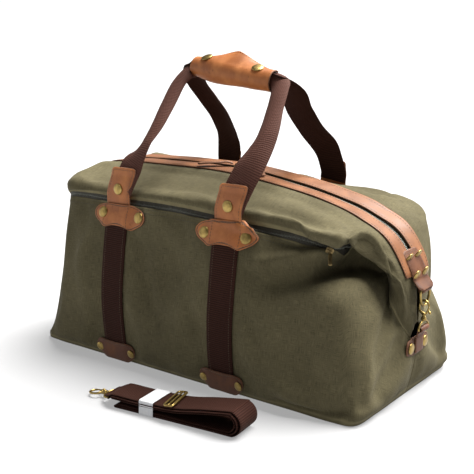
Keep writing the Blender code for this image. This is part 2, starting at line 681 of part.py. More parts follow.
def handle(side, left_leg, right_leg):
    """One webbing loop, from the left patch over the grip to the right patch."""
    word = "front" if side < 0 else "rear"
    left, right = (
        [Vector(p) for p in smooth_path([(x / 1000, side * y / 1000, z / 1000) for x, y, z in leg], 12)]
        for leg in (left_leg, right_leg)
    )
    middle = WRAP_CENTRE + Vector((0, side * GRIP_OFFSET, 0))
    along = Vector((math.cos(WRAP_TILT), 0, -math.sin(WRAP_TILT)))
    route = left + [middle + along * place for place in GRIP_PLACES] + right[::-1]
    normals, widths, thicknesses = [], [], []
    for i in range(len(route)):
        ahead = route[min(i + 1, len(route) - 1)] - route[max(i - 1, 0)]
        level = min(max((min(i, len(route) - 1 - i) - 7.5) / 3, 0), 1)
        rise = math.hypot(ahead.y, ahead.z)
        flat = Vector((0, side, 0))
        lean = Vector((0, side * abs(ahead.z), abs(ahead.y))) / rise if rise > 1e-6 else flat
        normals.append(lean.lerp(flat, level))
        widths.append(WEB_WIDTH + (GRIP_WIDTH - WEB_WIDTH) * level)
        thicknesses.append(WEBBING + (GRIP_THICK - WEBBING) * level)
    ribbon(f"handle_webbing_{word}", route, normals, widths, thicknesses, BROWN_WEB)
    handle_tab(f"{word}_left", side, left)
    handle_tab(f"{word}_right", side, right)


def handle_tab(place, side, leg):
    """The leather tab outside the foot of a handle leg, and the rivet through it."""
    foot = [p for p in leg if p.z < HANDLE_TAB_TOP]
    count = len(foot)
    out = []
    for i in range(count):
        ahead = leg[i + 1] - leg[max(i - 1, 0)]
        out.append(Vector((0, side * abs(ahead.z), abs(ahead.y))).normalized())
    lifted = [p + n * (WEBBING / 2 + 2 * GAP + LEATHER / 2) for p, n in zip(foot, out)]
    ribbon(f"handle_tab_{place}", lifted, out, [HANDLE_TAB_WIDTH] * count, [LEATHER] * count, TAN_LEATHER)
    normal = out[count // 2]
    centre = lifted[count // 2] + normal * (LEATHER / 2 + GAP + RIVET_HEIGHT / 2)
    cylinder_mesh(f"handle_rivet_{place}", RIVET_RADIUS, RIVET_HEIGHT, centre, normal, BRASS, sides=24)


def wrap():
    """The grip's leather: a channel on the front handle, open to the rear, and the flap that closes it."""
    half_h, half_d = WRAP_HEIGHT / 2, WRAP_DEPTH / 2
    channel = [
        (half_d, -half_h), (half_d, -half_h + LEATHER), (-half_d + 0.004, -half_h + LEATHER),
        (-half_d + LEATHER, -half_h + 0.006), (-half_d + LEATHER, half_h - 0.0035),
        (-half_d, half_h - 0.0035), (-half_d, -half_h + 0.004), (-half_d + 0.003, -half_h),
    ]
    body = flat_outline("handle_wrap", channel, WRAP_LENGTH, TAN_LEATHER)
    lid = [
        (-half_d, half_h - 0.0020), (-half_d + 0.0012, half_h), (half_d, half_h),
        (half_d, half_h - LEATHER), (-half_d + 0.0022, half_h - LEATHER),
    ]
    flap = flat_outline("wrap_flap", lid, WRAP_LENGTH - FLAP_SHORTER, TAN_LEATHER)
    stand = Matrix(((0, 0, 1, 0), (1, 0, 0, 0), (0, 1, 0, 0), (0, 0, 0, 1)))
    tilt = Matrix.Rotation(WRAP_TILT, 4, "Y")
    for piece in (body, flap):
        piece.matrix_world = Matrix.Translation(WRAP_CENTRE) @ tilt @ stand


def hank():
    """The folded shoulder strap as one solid, with an open round bend at its right end. Returns the matrix
    that stands things on it, and its length."""
    start, end = Vector((*HANK_LEFT, 0)), Vector((*HANK_RIGHT, 0))
    length = (end - start).length
    side_view = [(0.004, 0.0004), (length * 0.6, 0.0004), (length - 0.02, 0.0012)]
    side_view += [
        (length - 0.016 + BEND_RADIUS * math.cos(a), 0.0165 + BEND_RADIUS * math.sin(a))
        for a in np.linspace(-0.42 * math.pi, 0.5 * math.pi, 8)
    ]
    side_view += [(length * 0.72, 0.026), (length * 0.5, 0.019), (length * 0.25, 0.0165), (0.0, 0.0175)]
    side_view += [(-0.004, 0.012), (0.0, 0.004)]
    made = solid_of(flat_outline("shoulder_strap_hank", side_view, WEB_WIDTH, BROWN_WEB))
    hole = [(length * 0.55, 0.0085), (length - 0.030, 0.0085)]
    hole += [
        (length - 0.0185 + 0.0070 * math.cos(a), 0.0155 + 0.0070 * math.sin(a))
        for a in np.linspace(-0.5 * math.pi, 0.5 * math.pi, 7)
    ]
    hole += [(length * 0.72, 0.0165)]
    cutter = solid_of(flat_outline("hank_bend_inside", hole, WEB_WIDTH * 1.5, BOARD, CUTTERS))
    heading = math.atan2(end.y - start.y, end.x - start.x)
    stand = Matrix.Translation(start) @ Matrix.Rotation(heading, 4, "Z")
    for piece in (made, cutter):
        piece.matrix_world = stand @ Matrix.Rotation(math.pi / 2, 4, "X")
    subtract(made, cutter)
    return stand, length


def strap_fittings(stand, length):
    """What is on the folded strap: the paper band, the adjuster and the snap hook."""
    size = (BAND_WIDTH, WEB_WIDTH + 4 * BAND_THICK, BAND_HEIGHT)
    hole = (BAND_WIDTH * 1.5, WEB_WIDTH + 2 * BAND_THICK, BAND_HEIGHT - 2 * BAND_THICK)
    outer = box_mesh("paper_band", size, (0, 0, 0), PAPER)
    inner = box_mesh("paper_band_inside", hole, (0, 0, 0), BOARD, CUTTERS)
    for piece in (outer, inner):
        piece.matrix_world = stand @ Matrix.Translation((length * BAND_AT, 0, BAND_HEIGHT / 2))
    subtract(outer, inner)
    adjuster = box_mesh("strap_adjuster", ADJUSTER_SIZE, (0, 0, 0), BRASS)
    adjuster.matrix_world = (
        stand @ Matrix.Translation((length * ADJUSTER_AT, 0, ADJUSTER_Z))
        @ Matrix.Rotation(ADJUSTER_LEAN, 4, "Y") @ Matrix.Rotation(ADJUSTER_TURN, 4, "Z")
    )
    seat = bpy.data.objects.new("strap_hook_seat", None)
    PARTS.objects.link(seat)
    x, z = STRAP_HOOK_SEAT
    lying = Matrix.Rotation(-math.pi / 2 - STRAP_HOOK_DROOP, 4, "Y")
    seat.matrix_world = stand @ Matrix.Translation((x, 0, z)) @ lying
    snap_hook("strap_hook", seat, math.pi / 2)


def build():
    sewn_shell()
    bottom()
    pocket()
    main_zip()
    sliders()
    for word, sign in (("left", -1), ("right", 1)):
        end_fittings(word, sign)
    for side in (-1, 1):
        for word, x in zip(("left", "right"), STRAP_X):
            strap_set(side, word, x)
    handle(-1, FRONT_LEFT_LEG, FRONT_RIGHT_LEG)
    handle(1, REAR_LEFT_LEG, REAR_RIGHT_LEG)
    wrap()
    stand, length = hank()
    strap_fittings(stand, length)
    bpy.context.view_layer.update()


build()
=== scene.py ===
"""Looks for the canvas and leather duffel bag. Metres, +Z up, the bag's front towards -Y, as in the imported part."""

import math

import bmesh
import bpy
import numpy as np
from mathutils import Matrix, Vector
from mathutils.bvhtree import BVHTree


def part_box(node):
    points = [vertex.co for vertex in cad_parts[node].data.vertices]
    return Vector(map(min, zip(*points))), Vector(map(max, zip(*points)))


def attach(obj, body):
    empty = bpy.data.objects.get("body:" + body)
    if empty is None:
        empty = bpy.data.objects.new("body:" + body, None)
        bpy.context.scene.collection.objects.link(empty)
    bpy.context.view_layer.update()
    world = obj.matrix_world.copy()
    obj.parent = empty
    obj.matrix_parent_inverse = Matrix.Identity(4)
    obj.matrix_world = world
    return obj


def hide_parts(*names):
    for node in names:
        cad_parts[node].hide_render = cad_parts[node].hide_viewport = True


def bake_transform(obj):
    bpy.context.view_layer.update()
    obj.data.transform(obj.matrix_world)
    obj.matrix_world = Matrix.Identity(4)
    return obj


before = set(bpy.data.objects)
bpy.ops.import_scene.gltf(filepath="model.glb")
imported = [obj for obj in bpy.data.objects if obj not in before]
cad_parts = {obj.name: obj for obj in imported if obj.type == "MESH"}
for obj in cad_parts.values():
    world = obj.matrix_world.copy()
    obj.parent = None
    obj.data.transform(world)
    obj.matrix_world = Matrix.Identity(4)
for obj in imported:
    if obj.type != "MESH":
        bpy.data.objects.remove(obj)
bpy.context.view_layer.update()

SCENE = bpy.context.scene

# The bag's half sections in mm, as in the part: from the middle of the bag (first) round to the middle of its end
# (last). Ten points each: base edge, turn, belly, upper belly, below the seam, seam, lip, shoulder, crown and zip line.
SECTIONS_RIGHT = (
    ((0, 126, 0), (0, 133, 22), (0, 137, 85), (0, 133, 150), (0, 124, 198),
     (0, 114, 221), (0, 104, 240), (0, 70, 253), (0, 34, 255), (0, 0, 255)),
    ((95, 126, 0), (95, 133, 22), (95, 137, 85), (94, 132, 150), (92, 123, 194),
     (91, 112, 215), (91, 103, 233), (91, 70, 245), (91, 34, 246), (91, 0, 244)),
    ((175, 126, 0), (176, 133, 22), (176, 134, 85), (172, 124, 146), (166, 110, 185),
     (163, 98, 206), (162, 104, 228), (160, 74, 237), (159, 34, 234), (159, 0, 231)),
    ((228, 126, 0), (232, 131, 22), (232, 126, 85), (222, 108, 138), (205, 86, 172),
     (200, 80, 190), (211, 106, 215), (205, 76, 225), (203, 34, 220), (203, 0, 217)),
    ((254, 118, 0), (258, 122, 22), (258, 104, 80), (246, 78, 126), (228, 60, 156),
     (222, 56, 172), (240, 76, 196), (240, 58, 202), (240, 32, 198), (240, 0, 196)),
    ((257, 75, 0), (262, 78, 22), (264, 64, 70), (258, 48, 102), (249, 42, 122),
     (246, 41, 134), (260, 46, 148), (263, 38, 154), (265, 28, 154), (266, 0, 154)),
    ((257, 30, 0), (263, 32, 22), (267, 30, 52), (266, 25, 74), (263, 23, 84),
     (262, 22, 92), (267, 22, 100), (268, 17, 104), (268, 11, 106), (269, 0, 108)),
    ((257, 0, 0), (263, 0, 22), (267, 0, 45), (268, 0, 60), (268, 0, 68),
     (268, 0, 73), (268, 0, 78), (268, 0, 83), (268, 0, 88), (269, 0, 93)),
)
SECTIONS_LEFT = (
    SECTIONS_RIGHT[0],
    ((95, 126, 0), (95, 133, 22), (95, 137, 85), (94, 132, 150), (92, 124, 198),
     (91, 113, 221), (91, 104, 239), (91, 70, 252), (91, 34, 255), (91, 0, 255)),
    ((170, 126, 0), (170, 133, 22), (168, 136, 85), (165, 131, 150), (160, 122, 198),
     (158, 113, 221), (157, 107, 238), (157, 70, 252), (157, 34, 253), (157, 0, 253)),
    ((226, 126, 0), (227, 131, 22), (219, 131, 85), (210, 125, 150), (204, 118, 196),
     (201, 111, 218), (202, 110, 235), (202, 72, 248), (202, 34, 248), (202, 0, 246)),
    ((254, 118, 0), (250, 120, 22), (238, 110, 85), (230, 98, 145), (223, 90, 180),
     (220, 86, 199), (228, 88, 215), (234, 62, 224), (240, 32, 218), (242, 0, 212)),
    ((257, 75, 0), (259, 78, 22), (258, 66, 72), (252, 54, 108), (247, 48, 130),
     (246, 46, 143), (256, 48, 156), (261, 38, 160), (264, 28, 159), (266, 0, 158)),
    SECTIONS_RIGHT[6],
    SECTIONS_RIGHT[7],
)
RIGHT, LEFT = np.array(SECTIONS_RIGHT) / 1000, np.array(SECTIONS_LEFT) / 1000
FLIP_X, FLIP_Y = np.array((-1, 1, 1)), np.array((1, -1, 1))
LAST, SEAM, ZIP_LINE = 7, 5, 9
FRONT, REAR = -1, 1

CANVAS = 0.0018
LEATHER = 0.0022
WEBBING = 0.0018
WEB_WIDTH = 0.038
STRAP_X = {"left": -0.105, "right": 0.075}

# Carrying handles: each leg's route, with y as the distance from the middle plane.
LEGS = {
    ("front", "left"): (
        (-0.105, 0.1200, 0.2208), (-0.1038, 0.1200, 0.23), (-0.0945, 0.1192, 0.246), (-0.08, 0.1090, 0.282),
        (-0.0775, 0.0820, 0.315), (-0.0835, 0.0500, 0.345), (-0.086, 0.0260, 0.369), (-0.077, 0.0090, 0.386),
    ),
    ("front", "right"): (
        (0.075, 0.1200, 0.2208), (0.076, 0.1200, 0.23), (0.0835, 0.1192, 0.246), (0.0975, 0.1090, 0.282),
        (0.097, 0.0820, 0.315), (0.084, 0.0500, 0.34), (0.0745, 0.0260, 0.359), (0.065, 0.0090, 0.3705),
    ),
    ("rear", "left"): (
        (-0.105, 0.1200, 0.2208), (-0.1052, 0.1200, 0.23), (-0.1055, 0.1192, 0.246), (-0.098, 0.1090, 0.282),
        (-0.088, 0.0820, 0.315), (-0.086, 0.0500, 0.345), (-0.087, 0.0260, 0.369), (-0.077, 0.0090, 0.386),
    ),
    ("rear", "right"): (
        (0.075, 0.1200, 0.2208), (0.0752, 0.1200, 0.23), (0.076, 0.1192, 0.246), (0.069, 0.1090, 0.28),
        (0.062, 0.0820, 0.31), (0.063, 0.0500, 0.338), (0.07, 0.0260, 0.358), (0.065, 0.0090, 0.3705),
    ),
}
WRAP_CENTRE = np.array((-0.006, 0, 0.380))
WRAP_TILT = math.radians(6.8)
WRAP_LENGTH = 0.128
GRIP_OFFSET = 0.0055

# Shoulder strap on the floor
HANK_LEFT = np.array((-0.010, -0.228, 0))
HANK_RIGHT = np.array((0.170, -0.206, 0))


# ---------------------------------------------------------------- camera, lights and floor

CAMERA_AZIMUTH, CAMERA_ELEVATION = math.radians(36.87), math.radians(13.65)
CAMERA_DISTANCE = 1.224
CAMERA_TARGET = Vector((-0.002, 0, 0.161))
CAMERA_LENS, CAMERA_SENSOR = 68.35, 36  # mm


def camera():
    """The view of the bag from its right front, a little from above."""
    data = bpy.data.cameras.new("camera")
    data.lens, data.sensor_width = CAMERA_LENS, CAMERA_SENSOR
    made = bpy.data.objects.new("camera", data)
    SCENE.collection.objects.link(made)
    flat = math.cos(CAMERA_ELEVATION)
    side, back = math.sin(CAMERA_AZIMUTH) * flat, -math.cos(CAMERA_AZIMUTH) * flat
    away = Vector((side, back, math.sin(CAMERA_ELEVATION)))
    made.location = CAMERA_TARGET + away * CAMERA_DISTANCE
    made.rotation_euler = away.to_track_quat("Z", "Y").to_euler()
    SCENE.camera = made


FLOOR_RADIUS, FLOOR_HEIGHT = 60, -0.0004
FLOOR_GREY, FLOOR_GLOW = (0.245, 0.245, 0.250, 1), 0.34
KEY_LIGHT = (14.6, 50, (1.0, 0.99, 0.965))  # strength, spread in degrees and colour
FILL_LIGHT = (0.55, 60)
HORIZON_BAND = (0.05, 0.20, 1.06, 0.13)  # the band's two heights, and the strength at each
ROOM_TINT = (0.97, 0.985, 1.0, 1)
SUN_FROM = Vector((0.20, 0.46, 0.86))
FILL_FROM = Vector((-0.72, -0.62, 0.30))


def sun(name, towards, strength, spread, colour=(1, 1, 1)):
    data = bpy.data.lights.new(name, "SUN")
    data.energy, data.angle, data.color = strength, math.radians(spread), colour
    made = bpy.data.objects.new(name, data)
    made.rotation_euler = towards.to_track_quat("Z", "Y").to_euler()
    SCENE.collection.objects.link(made)


def backdrop():
    """A dim room with a white band along the horizon, so that the white floor runs on behind the bag."""
    world = bpy.data.worlds.new("studio")
    world.use_nodes = True
    nodes, links = world.node_tree.nodes, world.node_tree.links
    split = nodes.new("ShaderNodeSeparateXYZ")
    links.new(nodes.new("ShaderNodeTexCoord").outputs["Generated"], split.inputs[0])
    band = nodes.new("ShaderNodeMapRange")
    band.interpolation_type = "SMOOTHSTEP"
    for socket, value in zip(band.inputs[1:5], HORIZON_BAND):
        socket.default_value = value
    links.new(split.outputs["Z"], band.inputs["Value"])
    links.new(band.outputs[0], nodes["Background"].inputs["Strength"])
    nodes["Background"].inputs["Color"].default_value = ROOM_TINT
    SCENE.world = world


def studio():
    """The lights, the room and the white floor."""
    SCENE.view_settings.view_transform = "Standard"
    sun("key", SUN_FROM, *KEY_LIGHT)
    sun("fill", FILL_FROM, *FILL_LIGHT)
    backdrop()
    shape = bmesh.new()
    bmesh.ops.create_circle(shape, cap_ends=True, segments=96, radius=FLOOR_RADIUS)
    mesh = bpy.data.meshes.new("floor")
    shape.to_mesh(mesh)
    shape.free()
    look = bpy.data.materials.new("floor")
    look.use_nodes = True
    shader = look.node_tree.nodes["Principled BSDF"]
    shader.inputs["Base Color"].default_value = FLOOR_GREY
    shader.inputs["Roughness"].default_value = 0.95
    shader.inputs["Specular IOR Level"].default_value = 0.1
    shader.inputs["Emission Color"].default_value = (1, 1, 1, 1)
    shader.inputs["Emission Strength"].default_value = FLOOR_GLOW
    mesh.materials.append(look)
    floor = bpy.data.objects.new("floor", mesh)
    floor.location.z = FLOOR_HEIGHT
    SCENE.collection.objects.link(floor)


camera()
studio()


# ---------------------------------------------------------------- materials

CLOTH_MAP = "cloth"  # UV map in metres: first along the piece, then across it


class Look:
    """A node material under construction."""

    def __init__(self, name, roughness, metallic=0.0):
        self.material = bpy.data.materials.new(name)
        self.material.use_nodes = True
        self.tree = self.material.node_tree
        self.shader = self.tree.nodes["Principled BSDF"]
        self.shader.inputs["Roughness"].default_value = roughness
        self.shader.inputs["Metallic"].default_value = metallic

    def fill(self, socket, value):
        if isinstance(value, bpy.types.NodeSocket):
            self.tree.links.new(value, socket)
        else:
            socket.default_value = value

    def node(self, kind, *values, **settings):
        """A new node. values fill its inputs in order, None leaves one alone, and settings set its options."""
        made = self.tree.nodes.new("ShaderNode" + kind)
        for key, value in settings.items():
            setattr(made, key, value)
        for socket, value in zip(made.inputs, values):
            if value is not None:
                self.fill(socket, value)
        return made

    def sums(self, operation, a, b=None, c=None):
        return self.node("Math", a, b, c, operation=operation).outputs[0]

    def metres(self):
        return self.node("UVMap", uv_map=CLOTH_MAP).outputs[0]

    def place(self):
        return self.node("TexCoord").outputs["Object"]

    def stretched(self, vector, scale):
        return self.node("Mapping", vector, None, None, scale).outputs[0]

    def noise(self, vector, scale, detail=2.0, rough=0.5):
        made = self.tree.nodes.new("ShaderNodeTexNoise")
        self.fill(made.inputs["Vector"], vector)
        made.inputs["Scale"].default_value = scale
        made.inputs["Detail"].default_value = detail
        made.inputs["Roughness"].default_value = rough
        return made.outputs["Fac"]

    def ramp(self, value, low, high, to_low=0.0, to_high=1.0):
        return self.node("MapRange", value, low, high, to_low, to_high).outputs[0]

    def mix(self, amount, first, second, blend="MIX"):
        made = self.tree.nodes.new("ShaderNodeMix")
        made.data_type, made.blend_type = "RGBA", blend
        self.fill(made.inputs[0], amount)
        for socket, value in zip((made.inputs[6], made.inputs[7]), (first, second)):
            self.fill(socket, (*value, 1) if isinstance(value, tuple) and len(value) == 3 else value)
        return made.outputs[2]

    def bump(self, height, depth, strength=1.0, onto=None):
        made = self.tree.nodes.new("ShaderNodeBump")
        made.inputs["Strength"].default_value = strength
        made.inputs["Distance"].default_value = depth
        self.fill(made.inputs["Height"], height)
        if onto is not None:
            self.fill(made.inputs["Normal"], onto)
        return made.outputs[0]

    def finish(self, colour, normal=None, roughness=None):
        self.fill(self.shader.inputs["Base Color"], colour)
        if normal is not None:
            self.fill(self.shader.inputs["Normal"], normal)
        if roughness is not None:
            self.fill(self.shader.inputs["Roughness"], roughness)
        return self.material

    def sheen(self, amount, tint=(1, 1, 1)):
        self.shader.inputs["Sheen Weight"].default_value = amount
        self.shader.inputs["Sheen Roughness"].default_value = 0.45
        self.shader.inputs["Sheen Tint"].default_value = (*tint, 1)

    def weave(self, across, along, pitch_across, pitch_along):
        """The height of a plain weave: one thread over the next, from 0 to 1."""
        a = self.sums("SINE", self.sums("MULTIPLY", across, math.pi / pitch_across))
        b = self.sums("SINE", self.sums("MULTIPLY", along, math.pi / pitch_along))
        return self.sums("MULTIPLY_ADD", self.sums("MULTIPLY", a, b), 0.5, 0.5)


def canvas_look(name, pale, deep, pitch=0.0008):
    look = Look(name, 0.86)
    uv = look.metres()
    split = look.node("SeparateXYZ", uv)
    threads = look.weave(split.outputs[0], split.outputs[1], pitch, pitch)
    warp = look.noise(look.stretched(uv, (90, 2600, 1)), 1.0, 1.0)
    weft = look.noise(look.stretched(uv, (2600, 90, 1)), 1.0, 1.0)
    slub = look.sums("ADD", warp, weft)
    cloud = look.noise(look.place(), 9.0, 3.0, 0.55)
    mottle = look.noise(look.place(), 55.0, 4.0, 0.6)
    colour = look.mix(look.ramp(cloud, 0.32, 0.70), deep, pale)
    colour = look.mix(look.ramp(mottle, 0.30, 0.75, 0.0, 0.35), colour, pale)
    heather = look.ramp(slub, 0.72, 1.28, 0.62, 1.34)
    colour = look.mix(1.0, colour, look.node("CombineColor", heather, heather, heather).outputs[0], "MULTIPLY")
    worn = look.tree.nodes.new("ShaderNodeAttribute")
    worn.attribute_name = "worn"
    grip = look.sums("MULTIPLY", worn.outputs["Fac"], look.ramp(mottle, 0.3, 0.62, 0.35, 1.0))
    colour = look.mix(grip, colour, tuple(min(c * 1.75, 1) for c in pale))
    height = look.sums("ADD", threads, look.sums("MULTIPLY", slub, 0.8))
    look.sheen(0.025, (0.95, 0.93, 0.80))
    look.shader.inputs["Specular IOR Level"].default_value = 0.10
    soft = look.bump(mottle, 0.0012, 0.35)
    return look.finish(colour, look.bump(height, 0.00018, 0.75, soft), look.ramp(mottle, 0.3, 0.7, 0.80, 0.93))


def webbing_look(name, gap, lit_rib, fuzz_colour):
    look = Look(name, 0.72)
    uv = look.metres()
    split = look.node("SeparateXYZ", uv)
    ribs = look.sums("ABSOLUTE", look.sums("SINE", look.sums("MULTIPLY", split.outputs[0], math.pi / 0.0026)))
    warp = look.weave(split.outputs[1], split.outputs[0], 0.0013, 0.0026)
    height = look.sums("MULTIPLY_ADD", warp, 0.55, ribs)
    fuzz = look.noise(look.stretched(uv, (700, 1500, 1)), 1.0, 2.0)
    cloud = look.noise(look.place(), 24.0, 3.0)
    # The ribs' crests take the lighter colour as a painted highlight, and the gaps between them take the darker one as
    # painted shade.
    colour = look.mix(look.ramp(ribs, 0.1, 0.95), gap, lit_rib)
    colour = look.mix(look.ramp(fuzz, 0.45, 0.75, 0.0, 0.42), colour, fuzz_colour)
    colour = look.mix(look.ramp(cloud, 0.35, 0.7, 0.0, 0.28), colour, tuple(0.5 * c for c in lit_rib))
    look.sheen(0.012, (0.95, 0.70, 0.60))
    look.shader.inputs["Specular IOR Level"].default_value = 0.07
    return look.finish(colour, look.bump(height, 0.00045, 0.8), look.ramp(fuzz, 0.3, 0.7, 0.66, 0.82))


def leather_look(name, pale, mid, deep, roughness=(0.42, 0.60)):
    look = Look(name, 0.5)
    at = look.place()
    cloud = look.noise(at, 30.0, 3.0, 0.5)
    pull = look.noise(look.stretched(at, (1.0, 1.0, 0.7)), 62.0, 4.0, 0.55)
    pores = look.tree.nodes.new("ShaderNodeTexVoronoi")
    look.fill(pores.inputs["Vector"], at)
    pores.inputs["Scale"].default_value = 1150
    grain = look.noise(at, 620.0, 3.0, 0.6)
    colour = look.mix(look.ramp(cloud, 0.30, 0.72, 0.0, 0.55), mid, deep)
    colour = look.mix(look.ramp(pull, 0.44, 0.72, 0.0, 0.55), colour, pale)
    spots = look.ramp(look.noise(at, 190.0, 2.0), 0.66, 0.76, 0.0, 0.40)
    colour = look.mix(spots, colour, tuple(c * 0.5 for c in deep))
    colour = look.mix(look.ramp(grain, 0.5, 0.8, 0.0, 0.22), colour, pale)
    height = look.sums("MULTIPLY_ADD", pores.outputs["Distance"], 0.8, grain)
    look.shader.inputs["Specular IOR Level"].default_value = 0.26
    bump = look.bump(height, 0.00014, 0.5, look.bump(cloud, 0.0006, 0.3))
    return look.finish(colour, bump, look.ramp(pull, 0.35, 0.7, *roughness))


def edge_look():
    """Raw fibres of a cut leather edge."""
    look = Look("cut_leather_edge", 0.75)
    fibre = look.noise(look.stretched(look.place(), (300, 300, 900)), 2.0, 3.0)
    colour = look.mix(look.ramp(fibre, 0.35, 0.7), (0.075, 0.026, 0.010), (0.190, 0.080, 0.034))
    return look.finish(colour, look.bump(fibre, 0.0003, 0.6))


def brass_look(name, bright, dark, roughness=(0.30, 0.44)):
    look = Look(name, 0.36, 1.0)
    at = look.place()
    patina = look.noise(at, 170.0, 3.0, 0.5)
    speck = look.noise(at, 900.0, 2.0, 0.5)
    colour = look.mix(look.ramp(patina, 0.30, 0.62, 0.25, 1.0), dark, bright)
    colour = look.mix(look.ramp(speck, 0.60, 0.78, 0.0, 0.45), colour, dark)
    rough = look.ramp(patina, 0.35, 0.7, roughness[1], roughness[0])
    return look.finish(colour, look.bump(speck, 0.00004, 0.4), rough)


def tape_look():
    """A zip tape with a fine chevron weave."""
    look = Look("zip_tape", 0.55)
    uv = look.metres()
    split = look.node("SeparateXYZ", uv)
    slant = look.sums("ADD", split.outputs[0], look.sums("ABSOLUTE", split.outputs[1]))
    chevron = look.sums("SINE", look.sums("MULTIPLY", slant, math.pi / 0.0009))
    fuzz = look.noise(look.place(), 900.0, 2.0)
    colour = look.mix(look.ramp(fuzz, 0.35, 0.7), (0.026, 0.024, 0.018), (0.050, 0.046, 0.035))
    look.sheen(0.01)
    look.shader.inputs["Specular IOR Level"].default_value = 0.15
    return look.finish(colour, look.bump(chevron, 0.00012, 0.5))


def plain_look(name, first, second, scale, roughness, depth=0.0001):
    look = Look(name, roughness)
    speckle = look.noise(look.place(), scale, 3.0, 0.6)
    return look.finish(look.mix(look.ramp(speckle, 0.35, 0.7), first, second), look.bump(speckle, depth, 0.5))


CANVAS_LOOK = canvas_look("washed_canvas", (0.100, 0.086, 0.047), (0.060, 0.051, 0.027))
LINING_LOOK = canvas_look("lining_cloth", (0.042, 0.039, 0.030), (0.028, 0.026, 0.020), 0.0005)
# Each webbing's colours: in the gaps between its ribs (painted shade), on the ribs' crests (painted highlight) and of
# its fuzz.
WEB_LOOK = webbing_look(
    "ribbed_webbing", (0.0110, 0.0038, 0.0026), (0.036, 0.0130, 0.0085), (0.043, 0.0175, 0.0115)
)
# A lighter copy of the webbing for the front handle, which lies in the light: painted light.
HANDLE_LOOK = webbing_look("lit_handle_webbing", (0.030, 0.0115, 0.0082), (0.082, 0.0345, 0.0250), (0.125, 0.060, 0.045))
TAN = leather_look("tan_leather", (0.470, 0.180, 0.055), (0.300, 0.098, 0.027), (0.130, 0.038, 0.0105))
ZIP_TAN = leather_look("zip_leather", (0.250, 0.102, 0.038), (0.168, 0.066, 0.026), (0.088, 0.031, 0.012))
# A darker copy of the tan leather for the bottom, end and lower tabs. On the bottom tabs by the floor its darkness is
# painted shade.
DARK_TAN = leather_look("dark_tab_leather", (0.150, 0.056, 0.022), (0.082, 0.027, 0.010), (0.036, 0.011, 0.0045))
EDGE = edge_look()
BRASS = brass_look("antique_brass", (0.36, 0.255, 0.085), (0.145, 0.098, 0.034))
DARK_BRASS = brass_look("dark_brass", (0.25, 0.18, 0.08), (0.045, 0.032, 0.017), (0.28, 0.5))
TAPE = tape_look()
COIL = plain_look("zip_coil", (0.075, 0.078, 0.062), (0.13, 0.133, 0.11), 500.0, 0.38)
THREAD = plain_look("waxed_thread", (0.050, 0.033, 0.018), (0.105, 0.075, 0.044), 900.0, 0.7)
GREEN_THREAD = plain_look("olive_thread", (0.020, 0.018, 0.012), (0.042, 0.037, 0.024), 900.0, 0.75)
PAPER = plain_look("white_paper", (0.50, 0.51, 0.53), (0.58, 0.58, 0.58), 300.0, 0.6)
BOARD = plain_look("fibre_board", (0.055, 0.046, 0.034), (0.085, 0.072, 0.055), 240.0, 0.85)


# ---------------------------------------------------------------- mesh helpers


class Shape:
    """Closed bodies gathered into one piece."""

    def __init__(self):
        self.points, self.faces, self.maps, self.looks, self.worn = [], [], [], [], []
        self.count = 0

    def add(self, points, faces, uv=None, look=0, worn=None):
        points = np.asarray(points, float).reshape(-1, 3)
        self.points.append(points)
        self.faces += (np.asarray(faces) + self.count).tolist() if isinstance(faces, np.ndarray) else [
            tuple(i + self.count for i in face) for face in faces
        ]
        self.maps.append(np.zeros((len(points), 2)) if uv is None else uv)
        self.worn.append(np.zeros(len(points)) if worn is None else worn)
        self.looks += [look] * len(faces) if isinstance(look, int) else list(look)
        self.count += len(points)

    def piece(self, name, looks, slot=None, body=None, replaces=()):
        mesh = bpy.data.meshes.new(name)
        points = np.concatenate(self.points)
        mesh.from_pydata(points.tolist(), [], self.faces)
        for look in looks:
            mesh.materials.append(look)
        mesh.polygons.foreach_set("material_index", np.array(self.looks, np.int32))
        mesh.polygons.foreach_set("use_smooth", np.ones(len(self.faces), bool))
        corners = np.empty(len(mesh.loops), np.int32)
        mesh.loops.foreach_get("vertex_index", corners)
        layer = mesh.uv_layers.new(name=CLOTH_MAP)
        layer.data.foreach_set("uv", np.concatenate(self.maps)[corners].astype(np.float32).ravel())
        worn = mesh.attributes.new("worn", "FLOAT", "POINT")
        worn.data.foreach_set("value", np.concatenate(self.worn).astype(np.float32))
        face_outwards(mesh)
        made = bpy.data.objects.new(name, mesh)
        SCENE.collection.objects.link(made)
        if replaces:
            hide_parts(*replaces)
        if body:
            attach(made, body)
        return made


def face_outwards(mesh):
    """Turns every closed body's faces outwards."""
    shape = bmesh.new()
    shape.from_mesh(mesh)
    bmesh.ops.recalc_face_normals(shape, faces=shape.faces)
    shape.to_mesh(mesh)
    shape.free()


def unit(vectors):
    """The vectors at length 1."""
    vectors = np.asarray(vectors, float)
    return vectors / np.maximum(np.linalg.norm(vectors, axis=-1, keepdims=True), 1e-12)


def path_lengths(points):
    """How far along a path each of its points lies."""
    return np.concatenate([[0], np.cumsum(np.linalg.norm(np.diff(points, axis=0), axis=1))])


def grid_quads(n, m):
    """The faces of a grid of n by m points."""
    index = np.arange(n * m).reshape(n, m)
    return np.stack([index[:-1, :-1], index[1:, :-1], index[1:, 1:], index[:-1, 1:]], -1).reshape(-1, 4)


def mesh_tree(mesh):
    """A tree for rays cast onto a mesh."""
    return BVHTree.FromPolygons([v.co for v in mesh.vertices], [p.vertices for p in mesh.polygons])


def arcs(grid, axis):
    """How far along each row (axis 0) or column (axis 1) of a grid each point lies, in metres, from the middle."""
    steps = np.linalg.norm(np.diff(grid, axis=axis), axis=-1)
    shape = list(steps.shape)
    shape[axis] = 1
    total = np.concatenate([np.zeros(shape), np.cumsum(steps, axis=axis)], axis=axis)
    return total - np.take(total, [total.shape[axis] // 2], axis=axis)


def grid_normals(grid):
    """The normals of a grid of points."""
    return unit(np.cross(np.gradient(grid, axis=0), np.gradient(grid, axis=1)))


